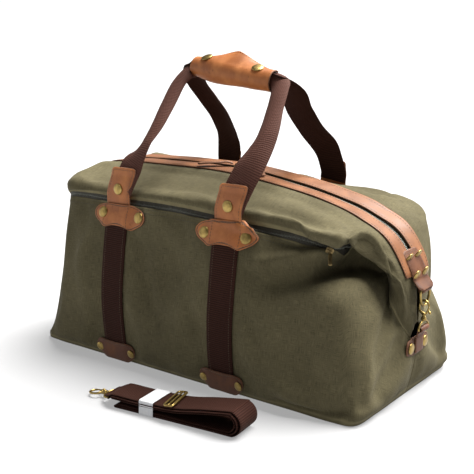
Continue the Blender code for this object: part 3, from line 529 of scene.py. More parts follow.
def grid_solid(shape, outer, inner, look=0, rim=0, worn=None, uv=None):
    """A sheet with thickness between two grids of points, with rounded edges."""
    n, m = outer.shape[:2]
    quads = grid_quads(n, m)
    i, j = n // 2, m // 2
    middle = np.cross(outer[min(i + 1, n - 1), j] - outer[i - 1, j], outer[i, min(j + 1, m - 1)] - outer[i, j - 1])
    if middle @ (outer[i, j] - inner[i, j]) < 0:
        quads = quads[:, ::-1]
    loop = [(a, 0) for a in range(n)] + [(n - 1, b) for b in range(1, m)]
    loop += [(a, m - 1) for a in range(n - 2, -1, -1)] + [(0, b) for b in range(m - 2, 0, -1)]
    edge = np.array(loop)
    inside = np.clip(edge, 1, (max(n - 2, 0), max(m - 2, 0)))
    top, low = outer[edge[:, 0], edge[:, 1]], inner[edge[:, 0], edge[:, 1]]
    out = unit(top - outer[inside[:, 0], inside[:, 1]])
    thick = np.linalg.norm(top - low, axis=1, keepdims=True)
    ring = (top + low) / 2 + out * thick * 0.35
    flat = np.concatenate([outer.reshape(-1, 3), inner.reshape(-1, 3), ring])
    ids = edge[:, 0] * m + edge[:, 1]
    after = np.roll(ids, -1)
    mid = 2 * n * m + np.arange(len(edge))
    mid_after = np.roll(mid, -1)
    sides = np.concatenate([
        np.stack([ids, after, mid_after, mid], -1), np.stack([mid, mid_after, after + n * m, ids + n * m], -1)
    ])
    if middle @ (outer[i, j] - inner[i, j]) > 0:
        sides = sides[:, ::-1]
    faces = np.concatenate([quads, quads[:, ::-1] + n * m, sides[:, ::-1]])
    if uv is None:
        uv = np.stack([arcs(outer, 0), arcs(outer, 1)], -1)
    uv = uv.reshape(-1, 2)
    uv = np.concatenate([uv, uv, uv[ids]])
    if worn is not None:
        worn = worn.reshape(-1)
        worn = np.concatenate([worn, worn, worn[ids]])
    looks = [look] * (2 * len(quads)) + [rim] * len(sides)
    shape.add(flat, faces, uv, looks, worn)


def spline(points, count):
    """count places on the smooth curve through the points, evenly spread between them."""
    rows = np.asarray(points, float)
    at = np.linspace(0, len(rows) - 1, count)
    return through(rows, at, 2 * rows[0] - rows[1], 2 * rows[-1] - rows[-2])


def even(points, step):
    """The same path with a point about every step."""
    points = np.asarray(points, float)
    far = path_lengths(points)
    at = np.linspace(0, far[-1], max(int(round(far[-1] / step)), 1) + 1)
    return np.stack([np.interp(at, far, points[:, k]) for k in range(points.shape[1])], -1)


def catmull_rom(p0, p1, p2, p3, f):
    """The place at share f of the smooth curve from p1 to p2."""
    square, cube = 2 * p0 - 5 * p1 + 4 * p2 - p3, 3 * p1 - p0 - 3 * p2 + p3
    return 0.5 * (2 * p1 + (p2 - p0) * f + square * f**2 + cube * f**3)


def through(rows, at, before, after):
    """The smooth curve through rows at each of the places at, with a row before the first and after the last."""
    at = np.asarray(at, float)
    full = np.concatenate([[before], rows, [after]])
    i = np.clip(np.floor(at).astype(int), 0, len(rows) - 2)
    f = (at - i).reshape((-1,) + (1,) * (rows.ndim - 1))
    return catmull_rom(*(full[i + k] for k in range(4)), f)


def along_rows(rows, at, before, after):
    """The same for rows that each have places of their own: rows is (n, k, 3) and at is (n, m)."""
    full = np.concatenate([before[:, None], rows, after[:, None]], axis=1)
    i = np.clip(np.floor(at).astype(int), 0, rows.shape[1] - 2)
    f = (at - i)[..., None]
    n = np.arange(len(rows))[:, None]
    return catmull_rom(*(full[n, i + k] for k in range(4)), f)


def tube(shape, path, radii, sides=10, look=0, closed=False, squash=1.0):
    """A round bar along a path, its ends rounded off. squash gives the section's second radius as a share."""
    path = np.asarray(path, float)
    radii = np.broadcast_to(np.asarray(radii, float), (len(path),))
    ahead = unit(np.roll(path, -1, 0) - np.roll(path, 1, 0)) if closed else unit(np.gradient(path, axis=0))
    normal = np.cross(ahead[0], (0.31, 0.57, 0.76))
    frames = []
    for k in range(len(path)):
        normal = unit(normal - ahead[k] * (normal @ ahead[k]))
        frames.append((normal, np.cross(ahead[k], normal)))
    turn = np.linspace(0, 2 * math.pi, sides, endpoint=False)
    rings = [
        path[k] + radii[k] * (np.cos(turn)[:, None] * frames[k][0] + squash * np.sin(turn)[:, None] * frames[k][1])
        for k in range(len(path))
    ]
    if not closed:
        first, last = rings[0] - path[0], rings[-1] - path[-1]
        caps = ((0.80, 0.50), (0.40, 0.88))
        rings = (
            [path[0] + first * share - ahead[0] * radii[0] * reach for share, reach in caps[::-1]]
            + rings
            + [path[-1] + last * share + ahead[-1] * radii[-1] * reach for share, reach in caps]
        )
    n = len(rings)
    points = np.concatenate(rings)
    faces = []
    for k in range(n if closed else n - 1):
        a, b = k * sides, (k + 1) % n * sides
        faces += [(a + t, a + (t + 1) % sides, b + (t + 1) % sides, b + t) for t in range(sides)]
    if not closed:
        faces += [tuple(range(sides))[::-1], tuple(range((n - 1) * sides, n * sides))]
    shape.add(points, faces, look=look)


def lathe(shape, profile, centre, axis, sides=28, look=0):
    """A turned body: profile is (radius, height) pairs from the middle of its top to the middle of its underside."""
    axis = unit(axis)
    side = unit(np.cross(axis, (0.13, 0.71, 0.41)))
    other = np.cross(axis, side)
    turn = np.linspace(0, 2 * math.pi, sides, endpoint=False)
    circle = np.cos(turn)[:, None] * side + np.sin(turn)[:, None] * other
    rings = [np.asarray(centre) + circle * r + axis * h for r, h in profile[1:-1]]
    ends = [np.asarray(centre) + axis * profile[0][1], np.asarray(centre) + axis * profile[-1][1]]
    points = np.concatenate(rings + [ends])
    faces = []
    for k in range(len(rings) - 1):
        a, b = k * sides, (k + 1) * sides
        faces += [(a + t, b + t, b + (t + 1) % sides, a + (t + 1) % sides) for t in range(sides)]
    top, low, base = len(rings) * sides, len(rings) * sides + 1, (len(rings) - 1) * sides
    faces += [(top, t, (t + 1) % sides) for t in range(sides)]
    faces += [(low, base + (t + 1) % sides, base + t) for t in range(sides)]
    shape.add(points, faces, look=look)


RIVET = ((0, 2.05), (1.6, 2.02), (3.3, 1.85), (4.35, 1.60), (4.75, 1.34), (5.05, 1.30), (5.45, 1.18), (5.75, 0.80),
         (5.80, 0.35), (5.60, 0.0), (4.6, -0.5), (0, -0.5))


RIVET_RADIUS = 0.0073


def rivet(shape, place, normal, radius=RIVET_RADIUS):
    """A domed cap with a rolled rim."""
    share = radius / RIVET[8][0]
    lathe(shape, [(r * share, h * share) for r, h in RIVET], place, normal)


LEATHER_STITCH, PATCH_STITCH = (0.0038, 0.0027, 0.00036), (0.0038, 0.0029, 0.00046)  # pitch, length and radius


def stitch_row(shape, route, normals, pitch=0.0042, length=0.0030, radius=0.00042, sink=0.0001):
    """Separate stitches along a path: small grains that dip into the surface at both ends."""
    route, normals = np.asarray(route, float), np.asarray(normals, float)
    places = even(route, pitch)
    if len(places) < 3:
        return
    closest = np.linalg.norm(places[:, None] - route[None], axis=-1).argmin(1)
    up = unit(normals[closest])
    ahead = unit(np.gradient(places, axis=0))
    across = np.cross(ahead, up)
    turn = np.linspace(0, 2 * math.pi, 6, endpoint=False)
    stations = ((-1.0, 0.15, -0.9), (-0.72, 0.75, -0.15), (0, 1.0, 0.0), (0.72, 0.75, -0.15), (1.0, 0.15, -0.9))
    for place, a, u, c in zip(places[:-1], ahead, up, across):
        rings = [
            place + a * (length / 2 * s + pitch / 2) + u * (radius * (h + 0.55) - sink)
            + radius * w * (np.cos(turn)[:, None] * c + 0.8 * np.sin(turn)[:, None] * u)
            for s, w, h in stations
        ]
        shape.add(np.concatenate(rings), STITCH_FACES)


STITCH_FACES = np.array([
    (k * 6 + t, k * 6 + (t + 1) % 6, (k + 1) * 6 + (t + 1) % 6, (k + 1) * 6 + t) for k in range(4) for t in range(6)
])


def rounded_outline(corners, radii, step=0.0016):
    """A closed outline through corners with each corner rounded, and a point about every step."""
    corners = np.asarray(corners, float)
    radii = np.broadcast_to(np.asarray(radii, float), (len(corners),))
    points = []
    for k, corner in enumerate(corners):
        back, on = corners[k - 1] - corner, corners[(k + 1) % len(corners)] - corner
        reach = min(radii[k], 0.48 * np.linalg.norm(back), 0.48 * np.linalg.norm(on))
        a, b = corner + unit(back) * reach, corner + unit(on) * reach
        for t in np.linspace(0, 1, 6):
            points.append((1 - t) ** 2 * a + 2 * t * (1 - t) * corner + t * t * b)
    return even(np.array(points + [points[0]]), step)[:-1]


PLATE_RINGS = ((0.0, 0.5), (0.0004, 0.94), (0.0018, 1.0), (0.0025, 0.80), (0.0032, 1.0), (0.0060, 1.04))


def plate(shape, outline, place, thickness=LEATHER, lift=0.0, look=0, rim=1):
    """A plate of leather with a creased border, bent onto a surface. place(u, v) gives points and normals of the
    surface at places in the outline's plane."""
    outline = np.asarray(outline, float)
    middle = (outline.max(0) + outline.min(0)) / 2
    spread = outline - middle
    far = np.linalg.norm(spread, axis=1, keepdims=True)
    small = min(1, 0.6 * far.min() / PLATE_RINGS[-1][0])
    rings, heights = [], []
    for inset, height in PLATE_RINGS:
        rings.append(middle + spread * (1 - inset * small / far))
        heights.append(height)
    inner = rings[-1] - middle
    for share in (0.75, 0.50, 0.25):
        rings.append(middle + inner * share)
        heights.append(1.04)
    under = [middle + spread * share for share in (0.3, 0.65)] + [middle + spread * (1 - 0.0004 / far)]
    flat = np.concatenate(rings + [middle[None]] + under + [middle[None]])
    levels = np.concatenate(
        [np.full(len(outline), h) for h in heights] + [[1.04]]
        + [np.full(len(outline), h) for h in (0.0, 0.0, 0.06)] + [[0.0]]
    )
    base, normals = place(flat[:, 0], flat[:, 1])
    points = base + normals * (lift + levels * thickness)[:, None]
    n = len(outline)
    faces, looks = [], []

    def band(a, b, colour):
        for t in range(n):
            faces.append((a + t, a + (t + 1) % n, b + (t + 1) % n, b + t))
            looks.append(colour)

    for k in range(len(rings) - 1):
        band(k * n, (k + 1) * n, rim if k in (0, 2, 3) else look)
    top = len(rings) * n
    faces.extend((top - n + t, top - n + (t + 1) % n, top) for t in range(n))
    looks.extend([look] * n)
    low = top + 1
    band(low, low + n, look)
    band(low + n, low + 2 * n, look)
    band(low + 2 * n, 0, rim)
    faces.extend((low + (t + 1) % n, low + t, low + 3 * n) for t in range(n))
    looks.extend([look] * n)
    shape.add(points, faces, flat, looks)


def inset_outline(outline, inset):
    """The outline drawn in towards its middle."""
    middle = (outline.max(0) + outline.min(0)) / 2
    spread = outline - middle
    return middle + spread * (1 - inset / np.linalg.norm(spread, axis=1, keepdims=True))


def stitch_border(shape, outline, place, stitch):
    """Stitches just inside a plate's edge, all the way round."""
    border = np.concatenate([inset_outline(outline, 0.0031)] * 2)[: len(outline) + 1]
    points, normals = place(border[:, 0], border[:, 1])
    stitch_row(shape, points + normals * LEATHER * 0.93, normals, *stitch)


def rivet_on(shape, place, u, v, radius, height=1.06):
    """A rivet on a plate at u, v. height is a share of the leather's thickness."""
    points, normals = place(np.array([u]), np.array([v]))
    rivet(shape, points[0] + normals[0] * LEATHER * height, normals[0], radius)


def ribbon_grids(route, normals, widths, thickness, columns=9, cup=0.0, across=None):
    """The two faces of a strap along a route. cup curls its edges away from the outer side, in radians in all."""
    route = np.asarray(route, float)
    ahead = unit(np.gradient(route, axis=0))
    out = np.asarray(normals, float)
    out = unit(out - ahead * np.sum(out * ahead, axis=1, keepdims=True))
    across = np.cross(ahead, out) if across is None else np.broadcast_to(across, out.shape)
    s = np.linspace(-0.5, 0.5, columns)[None, :, None]
    widths = np.broadcast_to(np.asarray(widths, float), (len(route),))[:, None, None]
    cup = np.broadcast_to(np.asarray(cup, float), (len(route),))[:, None, None]
    bend = np.where(np.abs(cup) < 1e-4, 1e-4, cup)
    radius = widths / bend
    middle = route[:, None] + across[:, None] * radius * np.sin(bend * s) \
        + out[:, None] * radius * (np.cos(bend * s) - 1)
    face = out[:, None] * np.cos(bend * s) + across[:, None] * np.sin(bend * s)
    edge = 1 - 0.28 * np.clip(np.abs(s) * 2 - 0.86, 0, 1) / 0.14
    half = face * thickness / 2 * edge
    return middle + half, middle - half


# ---------------------------------------------------------------- the bag's skin


def skin_points(stations, heights, side):
    """Points of the skin as designed: stations is (n,), and heights is (n, m), a row for each station."""
    found = np.empty((len(stations), heights.shape[1], 3))
    for sections, other, picked in ((RIGHT, LEFT, stations >= 0), (LEFT, RIGHT, stations < 0)):
        if picked.any():
            rows = through(sections, np.abs(stations[picked]), other[1] * FLIP_X, sections[LAST - 1] * FLIP_Y)
            found[picked] = along_rows(rows, heights[picked], 2 * rows[:, 0] - rows[:, 1], rows[:, -2] * FLIP_Y)
    found[..., 0] *= np.where(stations < 0, -1, 1)[:, None]
    found[..., 1] *= side
    return found


def at_heights(stations, heights):
    """The same heights at every station."""
    return np.broadcast_to(np.asarray(heights, float), (len(stations), len(heights))).copy()


def outward(points, side):
    """The normals of one side's grid, facing out of the bag."""
    return grid_normals(points) * -side


def even_places(fine, line, step):
    """Places picked from fine so that they lie about step apart on the line through their points."""
    far = path_lengths(line)
    return np.interp(np.linspace(0, far[-1], int(far[-1] / step) + 1), far, fine)


def even_stations(step):
    """Stations from one end seam to the other, about step apart along the bag's belly."""
    fine = np.linspace(-LAST, LAST, 1401)
    return even_places(fine, skin_points(fine, at_heights(fine, [3.0]), FRONT)[:, 0], step)


def even_heights(step):
    """Heights from the base edge to the zip line, about step apart up the bag's middle."""
    fine = np.linspace(0, ZIP_LINE, 901)
    return even_places(fine, skin_points(np.array([0.0]), at_heights([0.0], fine), FRONT)[0], step)


SLACK_STEP = 0.0065
SLACK_STATIONS = even_stations(SLACK_STEP)
SLACK_HEIGHTS = even_heights(SLACK_STEP)
SLACK_FRAMES = 26
SLACK_CLOTH = dict(
    quality=6, mass=0.35, tension_stiffness=25, compression_stiffness=25, shear_stiffness=12, bending_stiffness=4,
    air_damping=2, shrink_min=-0.035, use_pressure=True, uniform_pressure_force=0.6, vertex_group_mass="held",
)
MOST_SLACK = 0.0075  # how far the cloth may move from the designed skin


def smooth_step(low, high, values):
    """0 below low and 1 above high, with a smooth rise between them."""
    t = np.clip((np.asarray(values, float) - low) / (high - low), 0, 1)
    return t * t * (3 - 2 * t)


def held(points, stations, heights):
    """1 where the canvas is held by a seam, a strap, leather or the base, falling to 0 where it is free."""

    def near(distance, full, free):
        return 1 - smooth_step(full, free, distance)

    x = points[..., 0]
    hold = np.maximum(near(np.abs(heights - SEAM) * 0.023, 0.003, 0.010), near(heights * 0.020, 0.001, 0.012))
    hold = np.maximum(hold, smooth_step(7.5, 8.0, heights))
    for middle in STRAP_X.values():
        strap = near(np.abs(x - middle), 0.019, 0.030) * near(heights, 4.9, 5.2)
        hold = np.maximum(hold, strap)
        hold = np.maximum(hold, near(np.abs(x - middle), 0.040, 0.055) * smooth_step(3.4, 4.0, heights)
                          * near(heights, 4.9, 5.2))
    ends = np.abs(stations)[:, None] + 0 * heights
    return np.maximum(hold, np.maximum(smooth_step(6.6, 6.95, ends), smooth_step(4.2, 4.6, ends)
                                       * smooth_step(6.6, 7.4, heights)))


def cloth_slack():
    """How the canvas settles between the places that hold it: a cloth simulation of both halves with a little more
    cloth than the shape needs. Gives the moves of the front and rear grids."""
    heights = at_heights(SLACK_STATIONS, SLACK_HEIGHTS)
    rest = [skin_points(SLACK_STATIONS, heights, side) for side in (FRONT, REAR)]
    hold = [held(half, SLACK_STATIONS, heights) for half in rest]
    n, m = heights.shape
    quads = grid_quads(n, m)
    moves = []
    for half, pins, turn in zip(rest, hold, (1, -1)):
        mesh = bpy.data.meshes.new("slack")
        mesh.from_pydata(half.reshape(-1, 3).tolist(), [], quads[:, ::turn].tolist())
        cloth = bpy.data.objects.new("slack", mesh)
        SCENE.collection.objects.link(cloth)
        group = cloth.vertex_groups.new(name="held")
        for i, weight in enumerate(pins.reshape(-1)):
            if weight > 0.02:
                group.add([i], float(weight), "REPLACE")
        sim = cloth.modifiers.new("cloth", "CLOTH")
        for key, value in SLACK_CLOTH.items():
            setattr(sim.settings, key, value)
        sim.settings.effector_weights.gravity = 0.5
        sim.collision_settings.use_collision = False
        for step in range(1, SLACK_FRAMES + 1):
            SCENE.frame_set(step)
        settled = np.empty(len(mesh.vertices) * 3, np.float32)
        graph = bpy.context.evaluated_depsgraph_get()
        cloth.evaluated_get(graph).to_mesh().vertices.foreach_get("co", settled)
        moves.append(settled.reshape(n, m, 3).astype(float) - half)
        SCENE.frame_set(1)
        bpy.data.objects.remove(cloth)
        bpy.data.meshes.remove(mesh)
    calmed = []
    for move, pins in zip(moves, hold):
        for _ in range(2):
            wide = np.pad(move, ((1, 1), (1, 1), (0, 0)), mode="edge")
            move = (4 * move + wide[:-2, 1:-1] + wide[2:, 1:-1] + wide[1:-1, :-2] + wide[1:-1, 2:]) / 8
        size = np.linalg.norm(move, axis=-1, keepdims=True)
        move = move * np.tanh(size / MOST_SLACK) * MOST_SLACK / np.maximum(size, 1e-9)
        calmed.append(move * (1 - pins[..., None]))
    return calmed


SLACK = cloth_slack()


# Folds: the side, the line they follow as (station, height) places, their half width and how far they
# stand out of the skin (or, below 0, dip into it). Each fades out towards both ends.
FOLDS = (
    (FRONT, ((1.1, 3.40), (1.65, 3.73), (2.2, 4.1), (2.8, 4.45), (3.1, 4.6)), 0.0085, 0.0140),
    (FRONT, ((1.35, 2.9), (1.8, 3.2), (2.4, 3.6), (3.0, 4.0), (3.6, 4.3)), 0.013, -0.0170),
    (FRONT, ((2.4, 4.05), (3.1, 4.3), (3.7, 4.5), (4.4, 4.7)), 0.014, -0.0170),
    (FRONT, ((2.0, 2.6), (2.7, 3.0), (3.5, 3.4), (4.4, 3.5)), 0.022, 0.0120),
    (FRONT, ((3.2, 5.5), (3.7, 5.7), (4.2, 5.9), (4.9, 5.9)), 0.015, -0.0170),
    (FRONT, ((3.5, 6.4), (4.1, 6.5), (4.8, 6.6)), 0.016, -0.0100),
    (FRONT, ((0.9, 6.1), (1.7, 6.2), (2.4, 6.2), (3.2, 6.3)), 0.018, -0.0070),
    (FRONT, ((2.1, 5.5), (2.6, 5.6), (3.1, 5.7), (3.5, 5.9)), 0.010, 0.0110),
    (FRONT, ((1.5, 4.30), (2.0, 4.5), (2.6, 4.62)), 0.005, -0.0030),
    (FRONT, ((3.5, 2.4), (4.1, 2.9), (4.7, 3.3)), 0.016, 0.0050),
    (FRONT, ((-1.05, 5.4), (-0.5, 5.45), (0.2, 5.45), (0.85, 5.4)), 0.011, 0.0100),
    (FRONT, ((-4.3, 5.4), (-3.2, 5.3), (-2.2, 5.35), (-1.3, 5.4)), 0.009, 0.0055),
    (FRONT, ((-1.1, 5.06), (-0.4, 5.04), (0.3, 5.04), (0.9, 5.06)), 0.006, -0.0065),
    (FRONT, ((1.15, 5.5), (1.5, 5.55), (2.0, 5.6), (2.6, 5.6)), 0.010, 0.0060),
    (FRONT, ((0.95, 5.05), (1.4, 5.05), (1.9, 5.05)), 0.006, -0.0050),
    (FRONT, ((1.0, 6.4), (1.7, 6.5), (2.4, 6.6), (3.2, 6.7)), 0.009, -0.0035),
    (FRONT, ((-3.2, 5.5), (-2.4, 5.45), (-1.7, 5.45)), 0.009, 0.0025),
    (FRONT, ((-0.9, 3.9), (-0.55, 2.9), (-0.35, 1.9)), 0.011, -0.0046),
    (FRONT, ((-0.7, 4.6), (-0.2, 3.8), (0.4, 3.2)), 0.012, 0.0044),
    (FRONT, ((0.05, 3.0), (0.35, 2.1), (0.5, 1.3)), 0.012, -0.0042),
    (FRONT, ((-2.4, 4.0), (-1.95, 2.8), (-1.7, 1.6)), 0.013, 0.0042),
    (FRONT, ((-2.9, 4.4), (-2.7, 3.2), (-2.8, 2.0)), 0.012, -0.0046),
    (FRONT, ((1.5, 0.50), (2.4, 0.6), (3.2, 0.7), (3.9, 0.8)), 0.009, -0.0090),
    (FRONT, ((1.5, 1.2), (2.4, 1.2), (3.3, 1.3)), 0.012, 0.0050),
    (FRONT, ((-3.6, 0.6), (-2.6, 0.5), (-1.8, 0.55)), 0.007, -0.0022),
    (FRONT, ((4.6, 2.0), (5.1, 2.6), (5.6, 3.4), (6.0, 4.2)), 0.008, 0.0030),
    (FRONT, ((4.0, 5.6), (4.4, 5.9), (4.9, 6.0)), 0.008, 0.0030),
    (FRONT, ((-4.4, 4.0), (-4.7, 3.0), (-4.6, 1.8)), 0.010, -0.0030),
    (REAR, ((-0.9, 3.9), (-0.4, 3.2), (0.2, 2.9)), 0.012, -0.0028),
    (REAR, ((0.9, 3.6), (1.5, 4.0), (2.3, 4.3), (3.0, 4.5)), 0.010, 0.0045),
    (REAR, ((1.5, 4.3), (2.2, 4.6), (3.0, 4.75)), 0.007, -0.0030),
    (REAR, ((-1.0, 5.5), (-0.3, 5.55), (0.7, 5.5)), 0.011, 0.0060),
    (REAR, ((1.1, 5.5), (1.8, 5.6), (2.7, 5.6)), 0.010, 0.0050),
    (REAR, ((-2.4, 3.4), (-2.0, 2.5), (-1.9, 1.6)), 0.012, 0.0026),
    (REAR, ((0.3, 2.4), (0.6, 1.6), (0.7, 0.9)), 0.012, -0.0024),
    (REAR, ((1.6, 0.6), (2.6, 0.55), (3.6, 0.7)), 0.008, -0.0034),
    (REAR, ((4.5, 2.0), (5.1, 2.8), (5.7, 3.8)), 0.009, 0.0028),
    (REAR, ((-4.5, 1.6), (-4.9, 2.6), (-5.3, 3.6)), 0.009, 0.0028),
    (REAR, ((1.3, 6.6), (2.2, 6.8), (3.2, 6.9)), 0.010, -0.0030),
    (REAR, ((-3.0, 6.2), (-2.2, 6.4), (-1.2, 6.3)), 0.011, -0.0022),
)


def fold_lines():
    """Each fold's side, its line on the skin, its half width and its depth."""
    lines = []
    for side, places, width, depth in FOLDS:
        places = spline(places, 24)
        line = np.array([skin_points(p[:1], p[None, 1:], side)[0, 0] for p in places])
        lines.append((side, line, width, depth))
    return lines


FOLD_LINES = fold_lines()


def fold_depth(points, side):
    """How far the listed folds move each point along its normal."""
    flat = points.reshape(-1, 3)
    total = np.zeros(len(flat))
    for fold_side, line, width, depth in FOLD_LINES:
        if fold_side != side:
            continue
        near = np.all((flat > line.min(0) - 3 * width) & (flat < line.max(0) + 3 * width), axis=1)
        gaps = np.linalg.norm(flat[near][:, None] - line[None], axis=-1)
        closest = gaps.argmin(1)
        fade = np.sin(np.linspace(0, math.pi, len(line)))[closest] ** 0.7
        total[near] += depth * fade * np.exp(-((gaps.min(1) / width) ** 2))
    return total.reshape(points.shape[:-1])


CAVE_DEPTH = 0.031


def cave(stations, heights):
    """Where the cinch at the right end pulls the front's seam in under the top: 1 in the deepest place."""
    along = smooth_step(2.1, 3.6, stations) * (1 - smooth_step(4.5, 5.3, stations))
    return along[:, None] * smooth_step(2.8, 4.2, heights) * (1 - smooth_step(5.0, 6.0, heights))


def surface(stations, heights, side, lift=0.0):
    """Points of the finished canvas surface, its normals, and how much each is held."""
    points = skin_points(stations, heights, side)
    where = np.interp(stations, SLACK_STATIONS, np.arange(len(SLACK_STATIONS)))
    down = np.interp(heights, SLACK_HEIGHTS, np.arange(len(SLACK_HEIGHTS)))
    slack = SLACK[0 if side == FRONT else 1]
    rows = through(slack, where, slack[0], slack[-1])
    moved = points + along_rows(rows, down, rows[:, 0], rows[:, -1])
    hold = held(points, stations, heights)
    normals = outward(points, side)
    free = 1 - 0.9 * hold * (np.abs(heights - SEAM) > 0.75)
    moved += normals * (fold_depth(points, side) * free)[..., None]
    if side == FRONT:
        moved[..., 1] += CAVE_DEPTH * cave(stations, heights)
    low = 1 - smooth_step(0.0, 0.5, heights)
    moved[..., 2] = np.maximum(moved[..., 2], 0.0004 * low)
    normals = outward(moved, side)
    return moved + normals * lift, normals, hold


def worn_edge(heights, edges, reach=0.10):
    """1 on a panel's worn edges, falling to 0 within reach of them."""
    return np.max([np.exp(-(((heights - edge) / reach) ** 2)) for edge in edges], axis=0)


PANEL_STEP = 0.0034
POCKET_END = 3.05
PANEL_TOP, POCKET_LOW, POCKET_HIGH = 4.97, 4.60, 4.99
GUSSET_LOW, GUSSET_TOP = 5.00, 8.75


def panel_top(stations, side):
    """The front panel ends lower along the pocket's zip."""
    if side == REAR:
        return np.full(len(stations), PANEL_TOP)
    return PANEL_TOP - (PANEL_TOP - POCKET_LOW) * (1 - smooth_step(POCKET_END, POCKET_END + 0.35, np.abs(stations)))


def end_trim(points, side, gap=0.0004):
    """Keeps points on their own side of the middle plane."""
    points[..., 1] = side * np.maximum(side * points[..., 1], gap)
    return points


def panel(name, side, stations, low, top, edges, replaced, lift=0.0):
    rows = int(0.022 * (np.max(top) - low) / PANEL_STEP * 1.15) + 2
    share = np.linspace(0, 1, rows)[None]
    heights = low + (np.broadcast_to(top, (len(stations),))[:, None] - low) * share
    points, normals, _ = surface(stations, heights, side, lift)
    worn = worn_edge(heights, edges)
    if side == FRONT and low < 1:
        worn = np.maximum(worn, np.exp(-(((heights - np.asarray(top)[:, None]) / 0.06) ** 2)))
    shape = Shape()
    inner = points - normals * CANVAS
    grid_solid(shape, end_trim(points, side), end_trim(inner, side), worn=worn)
    return shape.piece(name, [CANVAS_LOOK], "canvas", "bag", replaced)


def shell():
    """The sewn canvas: two long panels that meet at the ends, and two top gussets."""
    stations = even_stations(PANEL_STEP)
    made = {}
    for side, word in ((FRONT, "front"), (REAR, "rear")):
        top = panel_top(stations, side)
        made[word] = panel(f"{word}_canvas", side, stations, 0.02, top, (0.25,), (f"{word}_panel",))
        inner = stations[np.abs(stations) <= 6.6]
        panel(
            f"top_canvas_{word}", side, inner, GUSSET_LOW, np.full(len(inner), GUSSET_TOP), (5.0, 5.12),
            (f"top_gusset_{word}",), 0.0002,
        )
    return made


def base():
    """The base's canvas and the board inside it."""
    outline = []
    for side, stations in ((FRONT, np.linspace(-LAST, LAST, 61)), (REAR, np.linspace(LAST, -LAST, 61))):
        outline.append(skin_points(stations, at_heights(stations, [0.0]), side)[:-1, 0, :2])
    outline = np.concatenate(outline)
    shape = Shape()

    def bag_base(thickness, z, scale):
        def level(u, v):
            return np.stack([u, v, 0 * u + z], -1), np.broadcast_to((0.0, 0.0, 1.0), (len(u), 3))

        plate(shape, outline * scale, level, thickness, rim=0)

    bag_base(CANVAS, 0.0001, 0.998)
    shape.piece("base_canvas", [CANVAS_LOOK], "canvas", "bag", ("bottom_panel",))
    shape = Shape()
    bag_base(0.003, 0.0022, 0.94)
    shape.piece("base_board", [BOARD], "board", "bag", ("bottom_board",))


def seam_stitches():
    """Top stitching on the canvas: under the pocket's zip, along the gussets' lower edge and beside the facings."""
    shape = Shape()
    for side in (FRONT, REAR):
        stations = np.linspace(-6.4, 6.4, 420)
        rows = [(GUSSET_LOW + 0.22, stations)]
        if side == FRONT:
            rows.append((POCKET_LOW - 0.30, np.linspace(-POCKET_END, POCKET_END, 240)))
            rows.append((POCKET_LOW - 0.08, np.linspace(-POCKET_END, POCKET_END, 240)))
        rows.append((7.86, np.linspace(-4.6, 4.6, 260)))
        for height, along in rows:
            points, normals, _ = surface(along, at_heights(along, [height, height + 0.02, height + 0.04]), side)
            stitch_row(shape, points[:, 0], normals[:, 0], 0.0036, 0.0026, 0.00034)
    shape.piece("canvas_stitches", [GREEN_THREAD], "canvas", "bag")


def pocket_zip():
    """The pocket's zip: a coated tape on each side of a closed coil, sunk under the two folded lips."""
    stations = even_stations(PANEL_STEP)
    stations = stations[np.abs(stations) <= POCKET_END + 0.25]
    tape, coil = Shape(), Shape()
    for low, high in ((POCKET_LOW - 0.10, 4.775), (4.815, POCKET_HIGH + 0.06)):
        heights = at_heights(stations, np.linspace(low, high, 7))
        points, normals, _ = surface(stations, heights, FRONT)
        bow = np.sin(np.linspace(0, math.pi, 7))[None, :, None] * 0.0007
        outer = points - normals * (0.0016 - bow)
        grid_solid(tape, outer, outer - normals * 0.0007)
    tape.piece("pocket_tape", [TAPE], "zip_tape", "bag", ("pocket_zip_tape",))
    points, normals, _ = surface(stations, at_heights(stations, [4.76, 4.795, 4.83]), FRONT)
    middle, out = points[:, 1] - normals[:, 1] * 0.0017, normals[:, 1]
    zip_teeth(coil, middle, out, 0.0016, 0.0030, 0.0006)
    coil.piece("pocket_coil", [COIL], "zip_tape", "bag")
    heights = at_heights(np.linspace(-2.6, 2.6, 60), np.linspace(1.0, 4.5, 40))
    inner, normals, _ = surface(np.linspace(-2.6, 2.6, 60), heights, FRONT)
    lining = Shape()
    grid_solid(lining, inner - normals * 0.0123, inner - normals * 0.0135)
    lining.piece("pocket_back", [LINING_LOOK], "lining", "bag", ("pocket_lining",))


TOOTH = ((-0.30, 0.35, 0.0), (-0.24, 1.0, 0.2), (0.05, 0.9, 0.5), (0.42, 1.0, 0.2), (0.50, 0.4, -0.2))


def zip_teeth(shape, middle, normals, pitch, width, radius):
    """A closed coil: loops from both sides that lie between each other."""
    path = even(middle, pitch)
    near = np.linalg.norm(path[:, None] - middle[None], axis=-1).argmin(1)
    up = unit(normals[near])
    ahead = unit(np.gradient(path, axis=0))
    across = np.cross(ahead, up)
    turn = np.linspace(0, 2 * math.pi, 6, endpoint=False)
    for k, (place, a, u, c) in enumerate(zip(path, ahead, up, across)):
        way = 1 if k % 2 else -1
        rings = [
            place + c * way * width * s + u * radius * rise
            + radius * w * (np.cos(turn)[:, None] * a + np.sin(turn)[:, None] * u)
            for s, w, rise in TOOTH
        ]
        shape.add(np.concatenate(rings), STITCH_FACES)


# Main zip
FACING_STATIONS = (-5.05, 5.05)
FACING_LOW, FACING_HIGH = 7.98, 8.80


